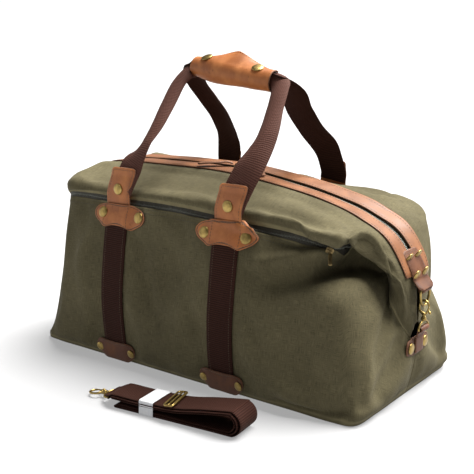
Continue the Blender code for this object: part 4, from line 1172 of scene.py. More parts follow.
def main_zip():
    """The two leather facings, with the tape and the closed coil between them."""
    stations = even_stations(0.0045)
    stations = stations[(stations >= FACING_STATIONS[0]) & (stations <= FACING_STATIONS[1])]
    thread = Shape()
    for side, word in ((FRONT, "front"), (REAR, "rear")):
        heights = at_heights(stations, np.linspace(FACING_LOW, FACING_HIGH, 15))
        points, normals, _ = surface(stations, heights, side)
        wander = 0.0006 * np.sin(stations * 5.3 + side)[:, None, None]
        outer = points + normals * (0.0008 + 0.0018 + wander * 0.4)
        crease = np.linspace(0, 1, 15)[None, :, None]
        dip = 0.0004 * (np.exp(-(((crease - 0.12) / 0.04) ** 2)) + np.exp(-(((crease - 0.88) / 0.04) ** 2)))
        outer = outer - normals * dip
        facing = Shape()
        grid_solid(facing, outer, points + normals * 0.0008, rim=1)
        facing.piece(f"zip_leather_{word}", [ZIP_TAN, EDGE], "leather", "bag", (f"zip_facing_{word}",))
        for row in (2, 12):
            stitch_row(thread, outer[:, row], normals[:, row], 0.0040, 0.0029, 0.00038)
    thread.piece("zip_leather_stitches", [THREAD], "leather", "bag")
    points = skin_points(stations, at_heights(stations, [8.9, 9.0]), FRONT)
    middle = points[:, 1]
    up = unit(np.cross(np.gradient(middle, axis=0), (0.0, 1.0, 0.0)))
    up *= np.sign(up[:, 2:3] + up[:, :1] * np.sign(middle[:, :1]) * 0.01)
    tape = Shape()
    outer, inner = ribbon_grids(middle - up * 0.0018, up, 0.026, 0.0010, 7)
    grid_solid(tape, outer, inner)
    tape.piece("main_tape", [TAPE], "zip_tape", "bag", ("zip_tape",))
    coil = Shape()
    zip_teeth(coil, middle - up * 0.0004, up, 0.0019, 0.0050, 0.0008)
    coil.piece("main_coil", [COIL], "zip_tape", "bag")


PANELS = shell()
base()
seam_stitches()
pocket_zip()
main_zip()


# ---------------------------------------------------------------- the two long faces as depth maps


class Face:
    """How far one long face stands from the middle plane, smoothed as stiff leather would bridge it."""

    step = 0.0025

    def __init__(self, side, canvas):
        self.side = side
        self.xs = np.arange(-0.165, 0.136, self.step)
        self.zs = np.arange(-0.004, 0.236, self.step)
        tree = mesh_tree(canvas.data)
        above = mesh_tree(bpy.data.objects[f"top_canvas_{'front' if side < 0 else 'rear'}"].data)
        self.depth = np.array([[self.hit(x, z, tree, above) for z in self.zs] for x in self.xs])
        self.stiff = self.depth.copy()
        for _ in range(5):
            wide = np.pad(self.stiff, 1, mode="edge")
            mean = sum(wide[1 + a:wide.shape[0] - 1 + a, 1 + b:wide.shape[1] - 1 + b]
                       for a in (-1, 0, 1) for b in (-1, 0, 1)) / 9
            self.stiff = np.maximum(mean, self.depth - 0.0004)

    def hit(self, x, z, tree, above):
        start, way = Vector((x, self.side * 0.4, max(z, 0.0012))), Vector((0, -self.side, 0))
        found = [hit[0].y for hit in (tree.ray_cast(start, way), above.ray_cast(start, way)) if hit[0]]
        return max((self.side * y for y in found), default=0.12)

    def read(self, table, x, z):
        a = np.clip((x - self.xs[0]) / self.step, 0, len(self.xs) - 1.001)
        b = np.clip((z - self.zs[0]) / self.step, 0, len(self.zs) - 1.001)
        i, j = a.astype(int), b.astype(int)
        f, g = a - i, b - j
        return (table[i, j] * (1 - f) * (1 - g) + table[i + 1, j] * f * (1 - g)
                + table[i, j + 1] * (1 - f) * g + table[i + 1, j + 1] * f * g)

    def place(self, x, z, stiff=True):
        """Points and normals of the face at places x, z."""
        table = self.stiff if stiff else self.depth
        x, z = np.asarray(x, float), np.asarray(z, float)
        depth = self.read(table, x, z)
        reach = 0.003
        slope_x = (self.read(table, x + reach, z) - self.read(table, x - reach, z)) / (2 * reach)
        slope_z = (self.read(table, x, z + reach) - self.read(table, x, z - reach)) / (2 * reach)
        points = np.stack([x, self.side * depth, z], -1)
        return points, unit(np.stack([-slope_x, np.full_like(x, float(self.side)), -slope_z], -1))


FACES = {"front": Face(FRONT, PANELS["front"]), "rear": Face(REAR, PANELS["rear"])}


# ---------------------------------------------------------------- straps and leather on the long faces

PATCH = {"half": 0.0465, "low": 0.182, "high": 0.215}
BOTTOM_TAB = {"half": 0.035, "low": 0.0016, "high": 0.030}
FACE_CLEAR = 0.0006
PATCH_SHIFT = {"left": 0.005, "right": -0.001}  # the patches sit a little off their straps
PATCH_RIVETS = {"left": ((-0.127, 0.2005), (-0.0650, 0.2005)), "right": ((0.0435, 0.1975), (0.1030, 0.1975))}


def wing_outline(half, low, high, waist, dip, nose):
    """Rounded wings at both ends, a straight top and a hollow lower edge between two corners."""
    middle = low + (high - low) * nose
    return rounded_outline(
        ((waist * 0.92, high), (-waist * 0.92, high), (-half * 0.86, middle + 0.0085), (-half, middle),
         (-half * 0.90, middle - 0.0085), (-waist, low), (-waist * 0.45, low + dip), (waist * 0.45, low + dip),
         (waist, low), (half * 0.90, middle - 0.0085), (half, middle), (half * 0.86, middle + 0.0085)),
        (0.004, 0.004, 0.008, 0.008, 0.008, 0.004, 0.012, 0.012, 0.004, 0.008, 0.008, 0.008),
    )


def over_strap(face, x_middle, lift, reach=0.0235):
    """The face with the strap's thickness raised in its middle, as leather lies over it."""

    def place(u, v):
        points, normals = face.place(x_middle + u, v)
        rise = lift * (1 - smooth_step(reach - 0.004, reach + 0.007, np.abs(u)))
        return points + normals * (FACE_CLEAR + rise)[:, None], normals

    return place


def lower_strap(word, face, x):
    """The webbing sewn up one long face, from the bottom tab to under the patch."""
    heights = np.arange(0.0085, 0.2045, 0.0022)
    across = np.linspace(-WEB_WIDTH / 2, WEB_WIDTH / 2, 11)
    sway = 0.0009 * np.sin(heights * 31 + x * 40)
    u, v = np.meshgrid(across, heights, indexing="ij")
    points, normals = face.place(x + u + sway[None], v)
    edge = 1 - 0.3 * (np.abs(u) > WEB_WIDTH * 0.46)
    outer = points + normals * (FACE_CLEAR + WEBBING * edge)[..., None]
    inner = points + normals * FACE_CLEAR
    shape = Shape()
    along = np.stack([v - v[0, 0], u], -1)
    grid_solid(shape, outer, inner, uv=along)
    shape.piece(f"face_strap_{word}", [WEB_LOOK], "webbing", "bag", (f"lower_webbing_{word}",))
    stitches = Shape()
    for edge_at in (1, 9):
        stitch_row(stitches, outer[edge_at], normals[edge_at], 0.0034, 0.0024, 0.00030)
    return stitches


def face_set(face_word, place_word):
    """One strap on one long face, with its patch, its bottom tab, stitches and rivets."""
    face, x = FACES[face_word], STRAP_X[place_word]
    word = f"{face_word}_{place_word}"
    stitches = lower_strap(word, face, x)
    thread, studs = Shape(), Shape()
    outline = wing_outline(PATCH["half"], PATCH["low"], PATCH["high"], 0.0225, 0.0042, 0.56)
    outline = outline + (PATCH_SHIFT[place_word], 0)
    on_strap = over_strap(face, x, WEBBING + 0.0004)
    patch = Shape()
    plate(patch, outline, on_strap)
    patch.piece(f"leather_patch_{word}", [TAN, EDGE], "leather", "bag", (f"patch_{word}",))
    stitch_border(thread, outline, on_strap, PATCH_STITCH)
    for edge_x in (-0.0205, 0.0205):
        v = np.linspace(PATCH["low"] + 0.004, PATCH["high"] - 0.003, 12)
        points, normals = on_strap(np.full(12, edge_x), v)
        stitch_row(thread, points + normals * LEATHER * 1.04, normals, *LEATHER_STITCH)
    for stud_x, stud_z in PATCH_RIVETS[place_word]:
        rivet_on(studs, on_strap, stud_x - x, stud_z, RIVET_RADIUS)
    outline = wing_outline(BOTTOM_TAB["half"], BOTTOM_TAB["low"], BOTTOM_TAB["high"], 0.0225, 0.0012, 0.42)
    outline = outline * (1, -1) + (0, BOTTOM_TAB["low"] + BOTTOM_TAB["high"])
    tab = Shape()
    plate(tab, outline, on_strap)
    # The bottom tab's darker leather is painted shade near the floor.
    tab.piece(f"leather_foot_{word}", [DARK_TAN, EDGE], "leather", "bag", (f"bottom_tab_{word}",))
    stitch_border(thread, outline, on_strap, PATCH_STITCH)
    for u in (-0.0275, 0.0275):
        rivet_on(studs, on_strap, u, 0.0165, 0.0058)
    thread.piece(f"leather_stitches_{word}", [THREAD], "leather", "bag")
    stitches.piece(f"strap_stitches_{word}", [THREAD], "webbing", "bag")
    studs.piece(f"rivets_{word}", [BRASS], "brass", "bag")


for face_word in ("front", "rear"):
    for place_word in STRAP_X:
        face_set(face_word, place_word)


# ---------------------------------------------------------------- carrying handles

LEG_TURN = {  # how far each leg's outer side turns towards the bag's right, at heights up the leg
    ("front", "left"): ((0.266, 0.295, 0.34), (0.0, -0.60, -0.40)),
    ("front", "right"): ((0.266, 0.285, 0.305, 0.335), (0.0, 0.10, 0.0, -0.45)),
    ("rear", "left"): ((0.266, 0.285, 0.33), (0.0, 0.15, 0.0)),
    ("rear", "right"): ((0.266, 0.285, 0.33), (0.0, -0.25, -0.45)),
}
HANDLE_FOOT = 0.2165  # height where the leather tab comes out from under the patch
TAB_TOP = 0.262
TAB_WIDTH = 0.041


def handle_routes(side, word):
    """The middle line of one handle's webbing from its left foot over the grip to its right foot."""
    left, right = (np.array(LEGS[word, place_word]) * (1, side, 1) for place_word in ("left", "right"))
    along = np.array((math.cos(WRAP_TILT), 0, -math.sin(WRAP_TILT)))
    grip = [WRAP_CENTRE + (0, side * GRIP_OFFSET, 0) + along * t for t in (-0.058, -0.03, 0.0, 0.03, 0.052)]
    return left, np.array(grip), right


def leg_normals(route, side, level):
    """The outer side of the webbing: square to the way the leg leans, and level in the grip."""
    ahead = unit(np.gradient(route, axis=0))
    lean = np.stack([0 * ahead[:, 0], side * np.abs(ahead[:, 2]), np.abs(ahead[:, 1])], -1)
    lean = unit(lean + (0, side * 1e-3, 0))
    return lean * (1 - level[:, None]) + np.array((0, side, 0)) * level[:, None]


def handle(side, word):
    """One carrying handle's webbing and the tabs at its feet."""
    left, grip, right = handle_routes(side, word)
    knots = np.concatenate([left, grip, right[::-1]])
    route = even(spline(knots, 600), 0.0035)
    foot = 0.0085
    far = path_lengths(route)
    keep = (far > foot) & (far < far[-1] - foot)
    route = route[keep]
    middle = WRAP_CENTRE[0]
    inside = 1 - smooth_step(0.050, 0.078, np.abs(route[:, 0] - middle) + 2.2 * np.maximum(0.362 - route[:, 2], 0))
    normals = leg_normals(route, side, inside)
    far = path_lengths(route)
    roll = 0.10 * np.sin(far * 9 + side)
    ahead = unit(np.gradient(route, axis=0))
    normals = unit(normals + np.cross(ahead, unit(normals)) * roll[:, None] * (1 - inside)[:, None])
    on_left = route[:, 0] < middle
    turn = np.where(on_left, np.interp(route[:, 2], *LEG_TURN[word, "left"]),
                    np.interp(route[:, 2], *LEG_TURN[word, "right"])) * (1 - inside)
    normals = unit(normals + turn[:, None] * np.array((1.0, 0.0, 0.0)))
    narrow = smooth_step(0.264, 0.318, route[:, 2])
    widths = WEB_WIDTH - 0.010 * inside
    cup = 0.25 + narrow * (1.7 + 0.9 * inside)
    outer, inner = ribbon_grids(route, normals, widths, WEBBING, 13, cup)
    shape = Shape()
    s = np.linspace(-0.5, 0.5, 13)[None] * WEB_WIDTH + 0 * far[:, None]
    grid_solid(shape, outer, inner, uv=np.stack([far[:, None] + 0 * s, s], -1))
    body = f"{word}_handle"
    # The rear handle takes the darker webbing as painted shade on its inner face. The front handle takes the lighter
    # copy.
    look = HANDLE_LOOK if side == FRONT else WEB_LOOK
    shape.piece(f"handle_strap_{word}", [look], "webbing", body, (f"handle_webbing_{word}",))
    for place_word, leg in (("left", left), ("right", right)):
        handle_tab(side, word, place_word, leg)


def handle_tab(side, word, place_word, leg):
    """The leather tab outside a handle's foot, which starts under the patch and bends there up onto the handle's leg.
    """
    body = f"{word}_handle"
    x = STRAP_X[place_word]
    face = FACES[word]
    path = even(spline(leg, 200), 0.0012)
    path = path[path[:, 2] <= TAB_TOP]
    ahead = unit(np.gradient(path, axis=0))
    out = unit(np.stack([0 * ahead[:, 0], side * np.abs(ahead[:, 2]), np.abs(ahead[:, 1])], -1))
    lifted = path + out * (WEBBING / 2 + 0.0007)
    lifted[:, 0] = x + 0.6 * (lifted[:, 0] - x)
    heights = np.linspace(PATCH["high"] - 0.012, HANDLE_FOOT, 9)
    tucked, tuck_out = face.place(np.full(9, x), heights)
    tucked = tucked + tuck_out * (FACE_CLEAR + WEBBING * 0.55)
    keep = path[:, 2] > HANDLE_FOOT + 0.006
    knots = np.concatenate([tucked[:7], lifted[keep][::3]])
    outs = np.concatenate([tuck_out[:7], out[keep][::3]])
    count = len(knots) * 3
    route, normals = spline(knots, count), unit(spline(outs, count))
    far = path_lengths(route)
    widths = TAB_WIDTH - 0.0012 * np.sin(np.linspace(0, math.pi, count))
    corner = 0.0045
    end_gap = far[-1] - far
    start_gap = far
    for gap in (end_gap, start_gap):
        cut = np.clip(1 - gap / corner, 0, 1)
        widths = widths - 2 * corner * (1 - np.sqrt(1 - cut**2 * 0.999))
    outer, inner = ribbon_grids(route, normals, widths, LEATHER, 13, 0.18, (-side, 0.0, 0.0))
    curl = 0.0018 * smooth_step(0.80, 1.0, far / far[-1])[:, None, None] * normals[:, None]
    outer, inner = outer + curl, inner + curl
    tab = Shape()
    grid_solid(tab, outer, inner, rim=1)
    made = tab.piece(f"leather_tab_{word}_{place_word}", [TAN, EDGE], "leather", None,
                     (f"handle_tab_{word}_{place_word}",))
    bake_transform(made)
    thread = Shape()
    for column in (1, 11):
        part = slice(count // 4, -3)
        stitch_row(thread, outer[part, column], normals[part], *LEATHER_STITCH)
    stitch_row(thread, outer[-4, 1:12], normals[[-4] * 11], *LEATHER_STITCH)
    made = thread.piece(f"tab_stitches_{word}_{place_word}", [THREAD], "leather", None)
    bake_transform(made)
    studs = Shape()
    low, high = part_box(f"handle_rivet_{word}_{place_word}")
    centre = np.array((low + high) / 2)
    k = np.linalg.norm(outer[:, 6] - centre, axis=1).argmin()
    rivet(studs, outer[k, 6] + normals[k] * 0.0001, normals[k])
    studs.piece(f"tab_rivet_{word}_{place_word}", [BRASS], "brass", body, (f"handle_rivet_{word}_{place_word}",))


handle(FRONT, "front")
handle(REAR, "rear")


# ---------------------------------------------------------------- the grip's wrap

TUBE_RADIUS = 0.0163
SNAPS = (-0.0435, 0.0405)  # places of the two snaps along the wrap


def wrap_grid():
    """Points of the wrap's outer face: from behind and below, round the front and over the top, where the middle
    of the free edge stands up in a point."""
    along = np.linspace(-WRAP_LENGTH / 2, WRAP_LENGTH / 2, 61)
    share = np.linspace(0, 1, 57)
    grid = np.empty((61, 57, 3))
    for i, t in enumerate(along):
        end_in = 1 - 0.16 * smooth_step(0.030, 0.064, abs(t))
        radius = TUBE_RADIUS * end_in
        peak = max(1 - (abs(t) / 0.054) ** 1.5, 0)
        leave = math.radians(112 + 20 * peak)
        start = math.radians(-42)
        reach = 0.0125 + 0.0125 * peak
        sweep = (2 * math.pi + start) - leave
        total = sweep * radius + reach
        for j, s in enumerate(share):
            run = s * total
            if run < sweep * radius:
                angle = start - run / radius
                grid[i, j] = (t, radius * math.cos(angle) * 1.04, radius * math.sin(angle))
            else:
                angle = start - sweep
                over = run - sweep * radius
                sag = (1 - peak) * over * over * 34
                grid[i, j] = (
                    t,
                    radius * math.cos(angle) * 1.04 + over * math.sin(angle),
                    radius * math.sin(angle) - over * math.cos(angle) - sag,
                )
        grid[i, :, 2] += 0.0012 * math.sin(t * 60) * np.sin(share * 6)
    return along, grid


def wrap_to_world(points):
    """The bag's places for points given along and round the grip."""
    c, s = math.cos(WRAP_TILT), math.sin(WRAP_TILT)
    x, y, z = np.moveaxis(np.asarray(points, float), -1, 0)
    return WRAP_CENTRE + np.stack([x * c + z * s, y, -x * s + z * c], -1)


def wrap():
    """The grip's leather wrap, its stitches and its two snaps."""
    along, grid = wrap_grid()
    outer = wrap_to_world(grid)
    normals = grid_normals(outer)
    if normals[30, 30, 1] > 0:
        normals = -normals
    leather = Shape()
    grid_solid(leather, outer, outer - normals * 0.0019, rim=1)
    made = leather.piece("grip_wrap", [TAN, EDGE], "leather", None, ("handle_wrap", "wrap_flap"))
    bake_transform(made)
    thread = Shape()
    stitch_row(thread, outer[1:-1, -2], normals[1:-1, -2], 0.0038, 0.0027, 0.00034)
    made = thread.piece("wrap_stitches", [THREAD], "leather", None)
    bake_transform(made)
    snaps = Shape()
    for t in SNAPS:
        i = np.abs(along - t).argmin()
        j = np.abs(grid[i, :, 1] + 0.0068)[34:].argmin() + 34
        lathe(snaps, [(r * 0.00136, h * 0.00092) for r, h in RIVET], outer[i, j] + normals[i, j] * 0.0003,
              normals[i, j], 36)
    snaps.piece("wrap_snaps", [BRASS], "brass", "wrap_lid")


wrap()


# ---------------------------------------------------------------- the two ends

RING_PIVOT = (0.277, 0.139)
RING_DROP = 0.021
HOOK_REACH = 0.0286
EYE_HEIGHT = RING_PIVOT[1] - RING_DROP - HOOK_REACH
END_TAB_HALF, LOOP_HALF = 0.018, 0.0105


def leather_strip(shape, route, normals, halves, columns=11, thickness=LEATHER):
    """A leather strip along a route in the middle plane, its width set at each point."""
    outer, inner = ribbon_grids(route, normals, 2 * np.asarray(halves), thickness, columns)
    grid_solid(shape, outer, inner, rim=1)
    return outer


def end_tab(word, sign):
    """The tab riveted over the zip's end, which goes round the D-ring's bar and back under itself."""
    low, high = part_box(f"end_tab_{word}")
    stations = np.linspace(4.30, 5.25, 12) * sign
    points, _, _ = surface(stations, at_heights(stations, [8.5, 8.6, 8.7]), FRONT)
    top = points[:, 1] * (1, 0, 1)
    ahead = unit(np.gradient(top, axis=0))
    out = np.stack([-ahead[:, 2] * -sign, 0 * ahead[:, 0], ahead[:, 0] * sign], -1)
    out *= np.sign(out[:, :1]) * sign
    top = top + out * (0.0036 + LEATHER / 2)
    pivot = np.array((sign * RING_PIVOT[0], 0, RING_PIVOT[1]))
    bar = 0.0016 + 0.0004 + LEATHER / 2
    turn = np.radians(np.linspace(20, -170, 15))
    around = pivot + bar * np.stack([sign * np.cos(turn), 0 * turn, np.sin(turn)], -1)
    around_out = np.stack([sign * np.cos(turn), 0 * turn, np.sin(turn)], -1)
    back = pivot + np.array([(-sign * (bar + 0.0004 * k), 0, 0.0022 * k) for k in range(1, 5)])
    back_out = np.array([(-sign, 0, 0.0)] * 4)
    top = top[top[:, 2] > pivot[2] + 0.008]
    out = out[: len(top)]
    knots = np.concatenate([top, around, back])
    outs = np.concatenate([out, around_out, back_out])
    route, normals = spline(knots, 110), unit(spline(outs, 110))
    gap = np.linalg.norm(route - pivot, axis=1)
    far = path_lengths(route)
    turned = far[np.argmax(route[:, 2] < pivot[2] + 0.0012)]
    halves = END_TAB_HALF - (END_TAB_HALF - LOOP_HALF) * smooth_step(turned - 0.004, turned + 0.003, far)
    cut = np.clip(1 - far / 0.003, 0, 1)
    halves = halves - 0.003 * (1 - np.sqrt(1 - cut**2 * 0.999))
    leather = Shape()
    outer = leather_strip(leather, route, normals, halves)
    leather.piece(f"end_leather_{word}", [DARK_TAN, EDGE], "leather", "bag", (f"end_tab_{word}",))
    thread, studs = Shape(), Shape()
    flat = gap > 0.014
    count = int(flat.sum())
    for column in (1, 9):
        stitch_row(thread, outer[1:count, column], normals[1:count], *LEATHER_STITCH)
    stitch_row(thread, outer[3, 1:10], normals[[3] * 9], *LEATHER_STITCH)
    thread.piece(f"end_stitches_{word}", [THREAD], "leather", "bag")
    for reach in (0.0085, 0.0315):
        k = np.abs(far - reach).argmin()
        across = outer[k, -1] - outer[k, 0]
        for y in (-0.0112, 0.0112):
            place = outer[k, 5] + unit(across) * y
            rivet(studs, place + normals[k] * 0.0001, normals[k], 0.0072)
    studs.piece(f"end_rivets_{word}", [BRASS], "brass", "bag")


def d_ring(word, sign):
    """A D-ring: a bow with a straight bar."""
    radius = 0.0125
    turn = np.linspace(0, math.pi, 33)
    bow = np.stack([0 * turn, radius * np.cos(turn), -RING_DROP * np.abs(np.sin(turn)) ** 0.8], -1)
    bar = np.stack([0 * np.arange(9.0), np.linspace(-radius, radius, 9), 0 * np.arange(9.0)], -1)
    path = np.concatenate([bow, bar[1:-1]]) + (sign * RING_PIVOT[0], 0, RING_PIVOT[1])
    shape = Shape()
    tube(shape, path, 0.0016, 14, closed=True)
    shape.piece(f"ring_{word}", [BRASS], "brass", f"ring_{word}", (f"d_ring_{word}",))


def lower_tab(word, sign):
    """The winged tab on the end's middle, and its loop that holds the hook's eye."""
    plate_x = 0.2688 + 0.0003
    low, high = EYE_HEIGHT - 0.033, EYE_HEIGHT - 0.0095
    outline = rounded_outline(
        ((-0.0275, high - 0.004), (-0.013, high), (0.013, high), (0.0275, high - 0.004), (0.0275, low + 0.003),
         (0.012, low), (-0.012, low), (-0.0275, low + 0.003)), 0.0035,
    )

    def place(u, v):
        points = np.stack([np.full_like(u, sign * plate_x) - sign * 0.9 * u * u, u, v], -1)
        return points, np.broadcast_to((float(sign), 0.0, 0.0), points.shape)

    leather, thread, studs = Shape(), Shape(), Shape()
    plate(leather, outline, place)
    pivot = np.array((sign * RING_PIVOT[0], 0, EYE_HEIGHT))
    bar = 0.0013 + 0.0005 + 0.0009
    turn = np.radians(np.linspace(-90, 200, 19))
    round_it = np.stack([sign * np.cos(turn), 0 * turn, np.sin(turn)], -1)
    start = np.array([(sign * (plate_x + 0.0034), 0, EYE_HEIGHT - 0.0300 + 0.0030 * k) for k in range(8)])
    behind = sign * (RING_PIVOT[0] - bar - 0.0004)
    end = np.array([(behind, 0, EYE_HEIGHT - 0.0035 - 0.0028 * k) for k in range(1, 3)])
    knots = np.concatenate([start, pivot + round_it * bar, end])
    outs = np.concatenate([[(sign, 0, 0.0)] * 8, round_it, [(-sign, 0, 0.0)] * 2])
    route, normals = spline(knots, 90), unit(spline(outs, 90))
    halves = np.full(90, 0.0098)
    leather_strip(leather, route, normals, halves, 9, 0.0018)
    leather.piece(f"lower_leather_{word}", [DARK_TAN, EDGE], "leather", "bag", (f"lower_tab_{word}",))
    stitch_border(thread, outline, place, LEATHER_STITCH)
    thread.piece(f"lower_stitches_{word}", [THREAD], "leather", "bag")
    for u in (-0.0185, 0.0185):
        rivet_on(studs, place, u, (low + high) / 2 - 0.001, 0.0070, 1.05)
    studs.piece(f"lower_rivets_{word}", [BRASS], "brass", "bag")


def snap_hook(prefix, bodies, seat, swivel=0.0):
    """A swivel trigger hook: its eye's bar lies on the seat's Y axis and the hook stands along the seat's Z."""
    eye_body, hook_body, gate_body = bodies

    def seated(points, turn):
        turned = np.asarray(points, float) @ np.array(Matrix.Rotation(turn, 3, "Z")).T
        return turned @ np.array(seat.to_3x3()).T + np.array(seat.translation)

    half = 0.0125
    eye = Shape()
    loop = [(0, -half, 0), (0, -half * 0.5, 0), (0, half * 0.5, 0), (0, half, 0), (0, half * 1.02, 0.0030),
            (0, half * 0.72, 0.0068), (0, 0.0040, 0.0094), (0, 0, 0.0098), (0, -0.0040, 0.0094),
            (0, -half * 0.72, 0.0068), (0, -half * 1.02, 0.0030)]
    rows = np.array(loop)
    at = np.linspace(0, len(rows), 66, endpoint=False)
    ring = through(np.concatenate([rows, rows[:2]]), at, rows[-1], rows[2])
    tube(eye, seated(ring, 0), 0.0013, 12, closed=True)
    collar = ((0, 0.0150), (1.2, 0.0150), (2.2, 0.0148), (2.6, 0.0143), (2.2, 0.0137), (3.0, 0.0132), (3.5, 0.0124),
              (3.5, 0.0112), (3.0, 0.0103), (1.8, 0.0097), (0, 0.0096))
    base_at, up = seated([(0, 0, 0)], 0)[0], np.array(seat.to_3x3() @ Vector((0, 0, 1)))
    lathe(eye, [(r / 1000, h) for r, h in collar], base_at, up, 24)
    eye.piece(f"{prefix}_swivel_eye", [BRASS], "brass", eye_body, (f"{prefix}_eye",))
    route = spline(((0, 0, 0.0152), (0, 0, 0.0175), (-0.0040, 0, 0.0198), (-0.0062, 0, 0.0240), (-0.0058, 0, 0.0300),
                    (-0.0030, 0, 0.0338), (0.0010, 0, 0.0345), (0.0046, 0, 0.0322), (0.0060, 0, 0.0285)), 49)
    share = np.linspace(0, 1, 49)
    radii = 0.00205 - 0.00055 * smooth_step(0.05, 0.45, share) - 0.00035 * smooth_step(0.75, 1.0, share)
    hook = Shape()
    tube(hook, seated(route, swivel), radii, 12, squash=0.86)
    barrel = ((0, 0.0196), (1.3, 0.0195), (2.2, 0.0188), (2.5, 0.0176), (2.3, 0.0162), (1.9, 0.0156), (0, 0.0155))
    lathe(hook, [(r / 1000, h) for r, h in barrel], base_at, up, 20)
    hook.piece(f"{prefix}_hook", [BRASS], "brass", hook_body, (f"{prefix}_body",))
    gate = Shape()
    lever = spline(((0.0030, 0, 0.0190), (0.0044, 0, 0.0213), (0.0053, 0, 0.0240), (0.0058, 0, 0.0264)), 20)
    tube(gate, seated(lever, swivel), np.linspace(0.0014, 0.0010, 20), 10)
    thumb = spline(((0.0050, 0, 0.0222), (0.0066, 0, 0.0216), (0.0078, 0, 0.0200)), 9)
    tube(gate, seated(thumb, swivel), (0.0011, 0.0011, 0.0011, 0.0011, 0.0012, 0.0013, 0.0015, 0.0016, 0.0015), 10)
    gate.piece(f"{prefix}_lever", [BRASS], "brass", gate_body, (f"{prefix}_gate",))


def ends():
    """Each end's tab, D-ring, lower tab and snap hook."""
    for word, sign in (("left", -1), ("right", 1)):
        end_tab(word, sign)
        d_ring(word, sign)
        lower_tab(word, sign)
        seat = Matrix.Translation((sign * RING_PIVOT[0], 0, EYE_HEIGHT))
        if sign < 0:
            seat = seat @ Matrix.Rotation(math.pi, 4, "Z")
        snap_hook(f"snap_hook_{word}", (f"hook_eye_{word}", f"hook_{word}", f"hook_gate_{word}"), seat)


ends()


# ---------------------------------------------------------------- zip sliders

SLIDER_OUTLINE = ((-0.006, -0.0030), (-0.0045, -0.00475), (0.0035, -0.00475), (0.006, -0.0036), (0.006, 0.0036),
                  (0.0035, 0.00475), (-0.0045, 0.00475), (-0.006, 0.0030))


def flat_place(origin, along, across):
    """A flat surface for a plate to lie on."""
    up = unit(np.cross(along, across))

    def place(u, v):
        points = origin + np.outer(u, along) + np.outer(v, across)
        return points, np.broadcast_to(up, points.shape)

    return place


TONGUE_TURN = {"left": math.radians(46), "right": math.radians(38)}  # how far each is swung to the front
TONGUE_LIFT, TONGUE_ARCH = 0.0022, 0.0012


def over_top(route, start_z):
    """The route laid over the top's canvas and leather, a little arched, from its own start."""
    trees = [mesh_tree(bpy.data.objects[name].data) for name in ("top_canvas_front", "zip_leather_front")]
    laid = np.array(route)
    for index, (x, y, _) in enumerate(route):
        hits = [tree.ray_cast(Vector((x, y, 0.5)), Vector((0, 0, -1)))[0] for tree in trees]
        ground = max([hit.z for hit in hits if hit is not None], default=start_z)
        laid[index, 2] = ground + TONGUE_LIFT
    far = np.linspace(0, 1, len(route))
    smooth = np.polyval(np.polyfit(far, laid[:, 2], 3), far)
    smooth += max(0, (laid[:, 2] - smooth).max())
    settle = smooth_step(0, 0.25, far)
    laid[:, 2] = start_z * (1 - settle) + smooth * settle + TONGUE_ARCH * np.sin(math.pi * far) ** 2
    return laid


def main_slider(word, direction):
    """Two stacked plates, the lower one smaller, and a bail over the top that the leather tongue hangs on."""
    low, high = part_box(f"slider_{word}")
    centre = np.array((low + high) / 2)
    outline = rounded_outline(np.array(SLIDER_OUTLINE) * (direction, 1), 0.0012, 0.0008)
    slider = Shape()
    for scale, z, thickness in ((1, -0.0008, 0.0013), (0.8, -0.0018, 0.0009)):
        place = flat_place(centre + (0, 0, z), np.array((1.0, 0, 0)), np.array((0, 1.0, 0)))
        plate(slider, outline * scale, place, thickness, rim=0)
    bail = ((0.0034, 0, 0.0000), (0.0030, 0, 0.0022), (0.0002, 0, 0.0030), (-0.0040, 0, 0.0028), (-0.0050, 0, 0.0006))
    bail = spline(bail, 25) * (-direction, 1, 1)
    tube(slider, centre + bail, 0.0008, 10, squash=1.6)
    slider.piece(f"zip_slider_{word}", [DARK_BRASS], "brass", f"zip_slider_{word}", (f"slider_{word}",))
    low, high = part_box(f"slider_pull_{word}")
    reach = high[0] - low[0]
    turn = TONGUE_TURN[word]
    start = np.array((high[0] if direction < 0 else low[0], 0, low[2])) + (direction * 0.0030, 0, 0.0014)
    route = start + np.outer(np.linspace(0, reach, 40), (direction * math.cos(turn), -math.sin(turn), 0))
    route = over_top(route, start[2])
    far = np.linspace(0, 1, 40)
    halves = 0.0038 + 0.0026 * smooth_step(0.10, 0.45, far) - 0.0012 * smooth_step(0.6, 0.9, far)
    cut = np.clip(1 - (1 - far) / 0.09, 0, 1)
    halves = halves * np.sqrt(1 - cut**2 * 0.985)
    tongue = Shape()
    outer = leather_strip(tongue, route, np.broadcast_to((0.0, 0.0, 1.0), route.shape), halves, 9, 0.0024)
    tongue.piece(f"zip_tongue_{word}", [ZIP_TAN, EDGE], "leather", f"zip_pull_{word}", (f"slider_pull_{word}",))
    thread = Shape()
    up = np.broadcast_to((0.0, 0.0, 1.0), route.shape)
    for column in (1, 7):
        stitch_row(thread, outer[8:36, column], up[8:36], 0.0036, 0.0026, 0.00032)
    thread.piece(f"tongue_stitches_{word}", [THREAD], "leather", f"zip_pull_{word}")


